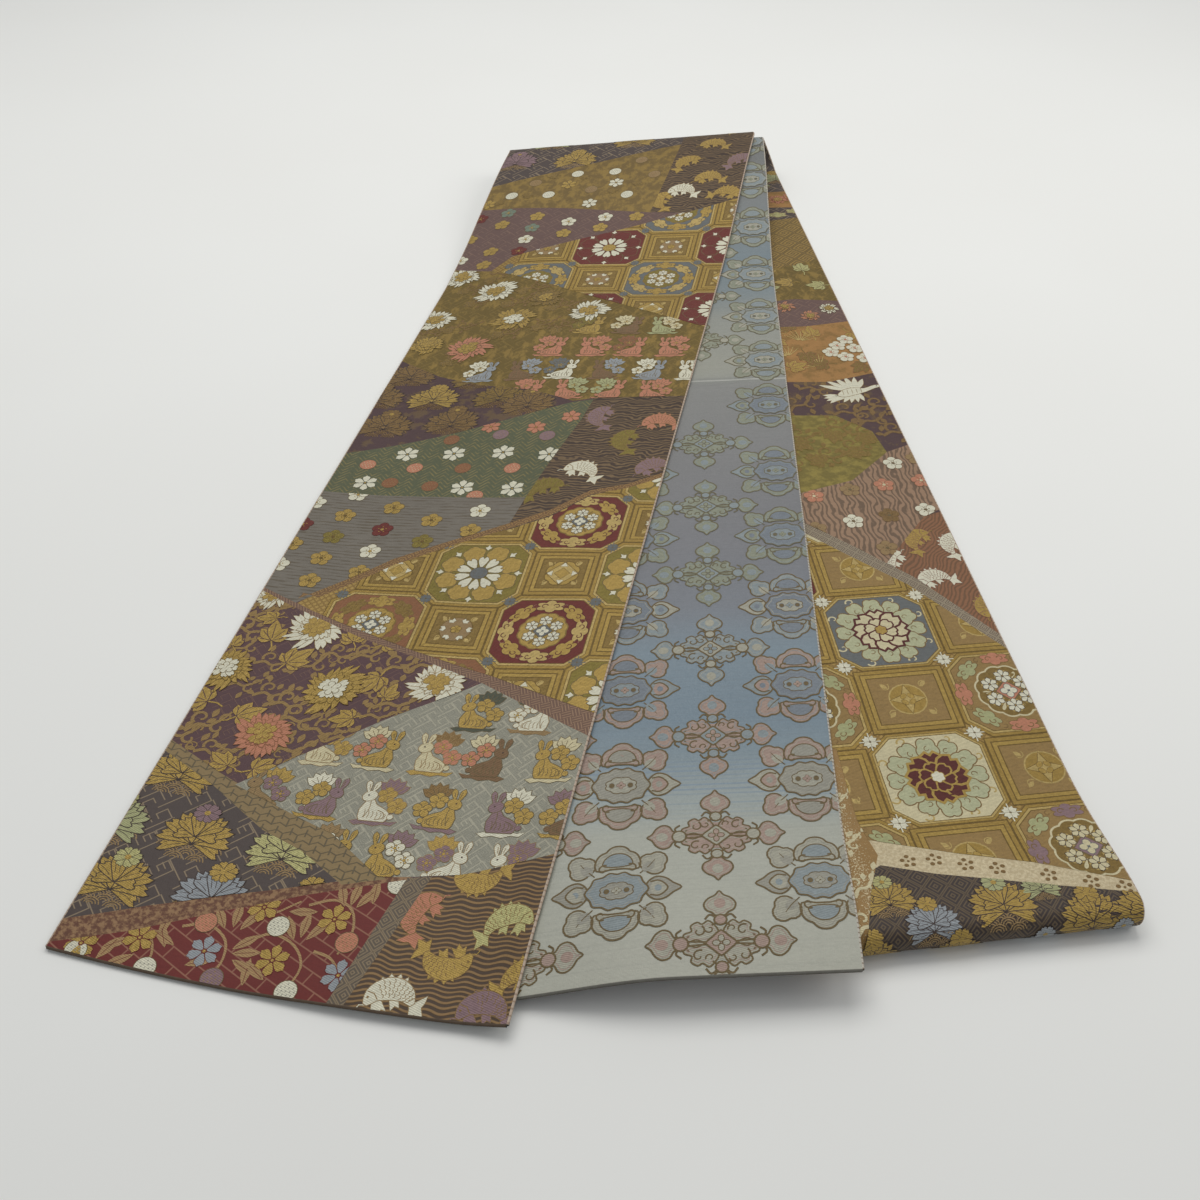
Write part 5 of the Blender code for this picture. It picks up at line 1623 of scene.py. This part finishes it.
def grounds_of_brocade():
    g = {}
    g["red"] = two_tone("ground red", (104, 36, 31), (150, 108, 86), brick_lines, 0.55)
    g["band_speckled"] = two_tone("band speckled", (100, 66, 50), (146, 114, 82), speckle(0.42, 0.6, 2.6, 2.6), 0.6)
    g["band_key"] = two_tone("band key", (92, 82, 70), (130, 114, 90), lozenges(1.1), 0.55)
    g["band_hex"] = two_tone("band hexagons", (134, 114, 78), (92, 82, 62), hexes, 0.55)
    g["band_mauve"] = two_tone("band mauve", (108, 82, 68), (142, 114, 90), lambda c: c.fret(0.7, 20, 3, 0.40), 0.55)
    g["band_scale"] = two_tone("band scales", (112, 84, 54), (146, 116, 70), scales, 0.5, 0.15)
    g["band_grey"] = two_tone("band grey", (112, 98, 82), (150, 138, 116), lozenges(0.9), 0.5)
    g["waves_brown"] = two_tone("waves brown", (70, 54, 40), (132, 104, 66), lambda c: water(c, 0.35, 0.10, 2.0, 0.42), 0.5, 0.1)
    g["waves_dark"] = two_tone("waves dark brown", (66, 52, 42), (112, 92, 66), rough_water, 0.55, 0.05)
    g["waves_rust"] = two_tone("waves rust", (132, 92, 64), (108, 78, 54), water_fine, 0.55)
    g["waves_mauve"] = two_tone("waves mauve", (146, 118, 94), (106, 86, 68), upright_water, 0.55)
    g["fret_dark"] = two_tone("fret dark", (76, 66, 62), (134, 118, 96), lambda c: key_lines(c, 0.36, 0.13), 0.55)
    g["lozenge_dark"] = two_tone("lozenge dark", (58, 49, 46), (94, 80, 62), lozenges(1.25), 0.55)
    g["silver"] = two_tone("ground silver", (126, 125, 112), (150, 147, 130), lambda c: c.both(key_lines(c, 0.26, 0.24), c.mul(lozenges(0.85)(c), 0.5)), 0.45, 0.15)
    g["aubergine"] = two_tone("ground aubergine", (82, 56, 58), (104, 78, 70), lambda c: key_lines(c, 0.30, 0.12), 0.5)
    g["fieldgold"] = two_tone("lattice field", (152, 126, 70), (128, 102, 54), net(0.42, 0.30), 0.45, 0.3)
    g["grey"] = two_tone("ground grey", (112, 106, 96), (92, 82, 66), dashes, 0.5)
    g["green"] = two_tone("ground green", (84, 88, 64), (122, 112, 72), herring, 0.55)
    g["purple_moss"] = two_tone("ground purple", (76, 56, 56), (96, 76, 54), speckle(0.50, 0.60, 0.5, 0.5), 0.5)
    g["olivegold"] = two_tone("ground olive gold", (108, 90, 44), (138, 114, 58), lambda c: c.both(c.mul(speckle(0.48, 0.62, 0.9, 0.45)(c), 1.0), c.mul(key_lines(c, 0.4, 0.12), 0.5)), 0.45, 0.25)
    g["moss"] = two_tone("ground moss", (112, 100, 48), (136, 122, 60), speckle(0.42, 0.62, 0.8, 1.2), 0.5, 0.2)
    g["mauve"] = two_tone("ground mauve", (100, 78, 72), (118, 94, 82), lambda c: key_lines(c, 0.32, 0.14), 0.55)
    g["olivebrown"] = two_tone("ground olive brown", (112, 92, 52), (138, 114, 60), speckle(0.42, 0.60, 1.0, 0.7), 0.5, 0.2)
    g["orange"] = two_tone("ground orange", (158, 118, 68), (136, 104, 56), speckle(0.45, 0.62, 0.6, 0.6), 0.5, 0.15)
    g["lozenge"] = two_tone("ground lozenge", (146, 120, 66), (106, 88, 52), lozenges(1.9), 0.5, 0.25)
    g["cream"] = two_tone("ground cream", (202, 188, 154), (182, 166, 132), speckle(0.4, 0.6, 4.0, 4.0), 0.5)
    g["powder"] = two_tone("ground powder", (142, 112, 66), (204, 188, 152), lambda c: c.step(0.50, 0.56, c.add(c.noise(7.0, 7.0, 3.0, 0.7), c.mul(c.op("ABSOLUTE", c.add(c.u, -13.0)), -0.09))), 0.5, 0.1)
    g["selvedge"] = two_tone("selvedge brocade", (184, 166, 148), (128, 100, 80), lambda c: c.mul(c.lines(c.v, 0.45, 0.25, 0.15), 0.6), 0.55)
    # painted shade: the turned ends of the brocade are coloured dark brown, darker than the cloth, for the shade under
    # a turned end
    g["cut_end"] = two_tone("end rim brocade painted shade", (78, 66, 54), (96, 80, 64), lambda c: c.noise(2.0, 2.0), 0.6)
    return g


def water_fine(c):
    wander = c.mul(c.add(c.noise(0.5, 0.4, 2.0), -0.5), 1.2)
    a, b = c.turned_axes(-35)
    return c.lines(c.add(c.add(a, c.wave(b, 3.0, 0.14)), wander), 0.34, 0.42, 0.18)


def lining_material(name, plain=None):
    """Satin whose tone changes along the strip, with thin steps of blue where one tone starts; unless plain, it also
    carries painted shade either side of the storage crease and a painted highlight along its ridge.
    """
    cloth = Cloth(name, 0.40, 0.0, 0.2, (200, 205, 210), 0.45)
    if plain is not None:
        colour = (*linear(plain), 1)
    else:
        ramp = cloth.tree.nodes.new("ShaderNodeValToRGB")
        stops = ((0.0, (170, 170, 156)), (11.5, (164, 166, 154)), (14.0, (150, 158, 154)), (18.5, (120, 136, 144)), (22.0, (110, 128, 140)), (29.0, (116, 132, 142)),
                 (34.0, (114, 119, 126)), (41.0, (114, 115, 119)), (50.0, (118, 118, 119)), (60.0, (124, 124, 122)), (66.8, (130, 130, 126)), (67.2, (146, 147, 138)), (70.0, (148, 148, 136)),
                 (80.0, (140, 142, 134)), (85.0, (122, 132, 134)), (92.0, (112, 126, 132)), (99.0, (116, 124, 126)), (106.0, (114, 116, 114)), (124.0, (108, 108, 106)))
        ramp.color_ramp.elements[0].position = 0.0
        ramp.color_ramp.elements[0].color = (*linear(stops[0][1]), 1)
        ramp.color_ramp.elements[1].position = 1.0
        ramp.color_ramp.elements[1].color = (*linear(stops[-1][1]), 1)
        for at, tone in stops[1:-1]:
            stop = ramp.color_ramp.elements.new(at / 124.0)
            stop.color = (*linear(tone), 1)
        cloth.tree.links.new(cloth.mul(cloth.v, 1 / 124.0), ramp.inputs[0])
        density = cloth.mul(cloth.step(11.6, 15.5, cloth.v), cloth.step(19.5, 16.5, cloth.v))
        steps = cloth.mul(cloth.mul(cloth.lines(cloth.v, 0.42, 0.36, 0.15), density), cloth.step(0.35, 0.5, cloth.noise(0.02, 2.2, 1.0)))
        colour = cloth.blend(cloth.mul(steps, 0.55), ramp.outputs[0], (*linear((112, 132, 152)), 1))
        # painted shade in a band up to 0.9 cm either side of the storage crease at v 67.5, and a painted highlight as a
        # thin light line along its ridge
        off = cloth.op("ABSOLUTE", cloth.add(cloth.v, -67.5))
        colour = cloth.blend(cloth.mul(cloth.step(0.9, 0.0, off), 0.35), colour, (*linear((92, 94, 96)), 1))
        colour = cloth.blend(cloth.mul(cloth.step(0.16, 0.06, off), 0.8), colour, (*linear((176, 176, 168)), 1))
    streak = cloth.noise(0.05, 5.0, 3.0, 0.7)
    colour = cloth.blend(cloth.mul(cloth.step(0.45, 0.75, streak), 0.16), colour, (*linear((96, 98, 96)), 1))
    ribs = cloth.lines(cloth.v, 0.085, 0.5, 0.4)
    return cloth.close(colour, ribs, 0.25, thread=0.12, mottle=0.10, rib=16.0)


def thread_material(name, metallic, rough, sheen=0.1):
    cloth = Cloth(name, rough, metallic, sheen)
    at = cloth.tree.nodes.new("ShaderNodeAttribute")
    at.attribute_name = "thread"
    at.attribute_type = "GEOMETRY"
    floats = cloth.lines(cloth.add(cloth.v, cloth.mul(cloth.u, 0.35)), 0.14, 0.5, 0.3)
    dark = cloth.blend(cloth.mul(cloth.add(1.0, cloth.mul(floats, -1.0)), 0.22), at.outputs["Color"], (0.05, 0.035, 0.02, 1))
    puff = cloth.noise(2.6, 2.6, 1.0, 0.4)
    relief = cloth.add(cloth.mul(floats, 0.8), cloth.mul(puff, 3.0))
    return cloth.close(dark, relief, 1.0, thread=0.26, mottle=0.14, rib=13.0)


# ---------------------------------------------------------------- pieces
GROUNDS = grounds_of_brocade()
LINING = lining_material("lining satin")
LINING_PLAIN = lining_material("lining satin plain", (150, 152, 146))
GROUNDS["lining"] = LINING
GROUNDS["lining_plain"] = LINING_PLAIN
GROUNDS_LINING = {"lining": LINING, "lining_plain": LINING_PLAIN,
                  "selvedge": two_tone("selvedge lining", (186, 180, 168), (120, 104, 84), lambda c: c.mul(c.lines(c.v, 0.35, 0.28, 0.15), 0.8), 0.5)}
# painted shade: the lining's turned ends are coloured a darker grey than the lining, for the shade under a turned end
GROUNDS_LINING["cut_end"] = two_tone("end rim lining painted shade", (100, 98, 90), (112, 110, 102), lambda c: c.noise(2.0, 2.0), 0.6)
SILK = thread_material("silk floats", 0.0, 0.55, 0.15)
GOLD = thread_material("metal thread floats", 0.35, 0.42, 0.05)
WHOLE = [(-1, -10), (32, -10), (32, 140), (-1, 140)]

pieces = {}
left_end = LENGTH["left"] + TURN["left"]
middle_end = LENGTH["middle"] + TURN["middle"]

sheet, data_left = cloth_sheet("left_brocade", "left", 1, 0.14, left_end, LEFT_PATCHES, GROUNDS)
pieces["left_brocade"] = (sheet, "left_stretch_brocade", "brocade", left_end)
woven = figures_left()
for part, keep in (("near", lambda u, v: v < 58), ("far", lambda u, v: v >= 58)):
    made = figure_piece("left_brocade_figures_" + part, "left", woven, data_left, LEFT_PATCHES, (SILK, GOLD), keep)
    pieces["left_figures_" + part] = (made, None, "brocade", 0)
sheet, _ = cloth_sheet("left_lining", "left", -1, 0.14, left_end, [("lining_plain", WHOLE)], GROUNDS_LINING)
pieces["left_lining"] = (sheet, "left_stretch_lining", "lining", left_end)

sheet, data_right = cloth_sheet("right_brocade", "right", 1, -TURN["right"], LENGTH["right"], RIGHT_PATCHES, GROUNDS, ends=(False, False))
pieces["right_brocade"] = (sheet, "right_stretch_brocade", "brocade", TURN["right"] + LENGTH["right"])


def right_shows(u, v):
    """The middle stretch covers the rest."""
    return u > 8.0 + 0.17 * v - 2.0


pieces["right_figures"] = (figure_piece("right_brocade_figures", "right", figures_right(), data_right, RIGHT_PATCHES, (SILK, GOLD), right_shows), None, "brocade", 0)
sheet, _ = cloth_sheet("right_lining", "right", -1, -TURN["right"], LENGTH["right"], [("lining_plain", WHOLE)], GROUNDS_LINING, ends=(False, False))
pieces["right_lining"] = (sheet, "right_stretch_lining", "lining", TURN["right"] + LENGTH["right"])

LINING_PATCHES = [("lining", WHOLE)]
sheet, data_middle = cloth_sheet("middle_lining", "middle", 1, 0.14, middle_end, LINING_PATCHES, GROUNDS_LINING)
pieces["middle_lining"] = (sheet, "middle_stretch_lining", "lining", middle_end)


def middle_shows(u, v):
    """The left stretch covers the rest."""
    return u > 8.0 + 0.15 * v - 5.0


woven = figures_lining()
for part, keep in (("near", lambda u, v: v < 50 and middle_shows(u, v)), ("far", lambda u, v: v >= 50 and middle_shows(u, v))):
    made = figure_piece("middle_lining_figures_" + part, "middle", woven, data_middle, LINING_PATCHES, (SILK, GOLD), keep)
    pieces["middle_figures_" + part] = (made, None, "lining", 0)
sheet, _ = cloth_sheet("middle_brocade", "middle", -1, 0.14, middle_end, [("fret_dark", WHOLE)], GROUNDS)
pieces["middle_brocade"] = (sheet, "middle_stretch_brocade", "brocade", middle_end)

sheet, _ = cloth_sheet("bottom_lining", "bottom", 1, 0.1, LENGTH["bottom"] - 0.1, [("lining_plain", WHOLE)], GROUNDS_LINING, ends=(False, False))
pieces["bottom_lining"] = (sheet, None, "lining", LENGTH["bottom"])
sheet, _ = cloth_sheet("bottom_brocade", "bottom", -1, 0.1, LENGTH["bottom"] - 0.1, [("fret_dark", WHOLE)], GROUNDS, ends=(False, False))
pieces["bottom_brocade"] = (sheet, "bottom_stretch_hidden_layers", "hidden_cloth", LENGTH["bottom"])

RESTS = {
    "left_brocade": ["left_lining"], "left_lining": ["middle_lining", "bottom_lining"],
    "middle_lining": ["middle_brocade"], "middle_brocade": ["right_brocade"],
    "right_brocade": ["right_lining"], "right_lining": ["bottom_lining"],
    "bottom_lining": ["bottom_brocade"], "bottom_brocade": [],
}
for key, (piece, node, slot, length) in pieces.items():
    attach(piece, "root")
    if node:
        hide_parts(node)
for key, rests in RESTS.items():
    piece, _, _, length = pieces[key]

# ---------------------------------------------------------------- floor, lights, camera
mesh = bpy.data.meshes.new("floor")
mesh.from_pydata([(-5, -5, -0.0006), (5, -5, -0.0006), (5, 6, -0.0006), (-5, 6, -0.0006)], [], [(0, 1, 2, 3)])
floor = bpy.data.objects.new("floor", mesh)
bpy.context.scene.collection.objects.link(floor)
paint = bpy.data.materials.new("floor")
paint.use_nodes = True
tree = paint.node_tree
shader = tree.nodes["Principled BSDF"]
shader.inputs["Roughness"].default_value = 0.75
shader.inputs["Specular IOR Level"].default_value = 0.2
where = tree.nodes.new("ShaderNodeTexCoord")
cloud_noise = tree.nodes.new("ShaderNodeTexNoise")
cloud_noise.inputs["Scale"].default_value = 2.2
ramp = tree.nodes.new("ShaderNodeValToRGB")
ramp.color_ramp.elements[0].color = (*linear((235, 235, 231)), 1)
ramp.color_ramp.elements[1].color = (*linear((240, 241, 238)), 1)
tree.links.new(where.outputs["Object"], cloud_noise.inputs["Vector"])
tree.links.new(cloud_noise.outputs["Fac"], ramp.inputs[0])
tree.links.new(ramp.outputs[0], shader.inputs["Base Color"])
mesh.materials.append(paint)

world = bpy.context.scene.world or bpy.data.worlds.new("studio")
bpy.context.scene.world = world
world.use_nodes = True
sky = world.node_tree.nodes["Background"]
sky.inputs[0].default_value = (0.95, 0.97, 1.0, 1)
sky.inputs[1].default_value = 0.365


def area_light(name, place, target, size, power, colour):
    data = bpy.data.lights.new(name, "AREA")
    data.shape = "RECTANGLE"
    data.size, data.size_y = size
    data.energy = power
    data.color = colour
    lamp = bpy.data.objects.new(name, data)
    lamp.location = place
    lamp.rotation_euler = (Vector(target) - Vector(place)).to_track_quat("-Z", "Y").to_euler()
    bpy.context.scene.collection.objects.link(lamp)


area_light("overhead", (-0.2, 0.98, 2.4), (0.0, 0.1, 0.0), (2.6, 1.6), 40.0, (1.0, 0.99, 0.97))
area_light("side", (2.0, 0.1, 1.7), (0.0, 0.0, 0.0), (1.4, 1.4), 12.0, (1.0, 0.98, 0.95))

lens = bpy.data.cameras.new("camera")
lens.sensor_width = 36.0
lens.lens = 35.403
camera = bpy.data.objects.new("camera", lens)
camera.location = (0.0031, -0.9587, 0.6913)
camera.rotation_euler = (math.radians(90 - 43.76), 0, 0)
bpy.context.scene.collection.objects.link(camera)
bpy.context.scene.camera = camera
bpy.context.scene.view_settings.view_transform = "Standard"
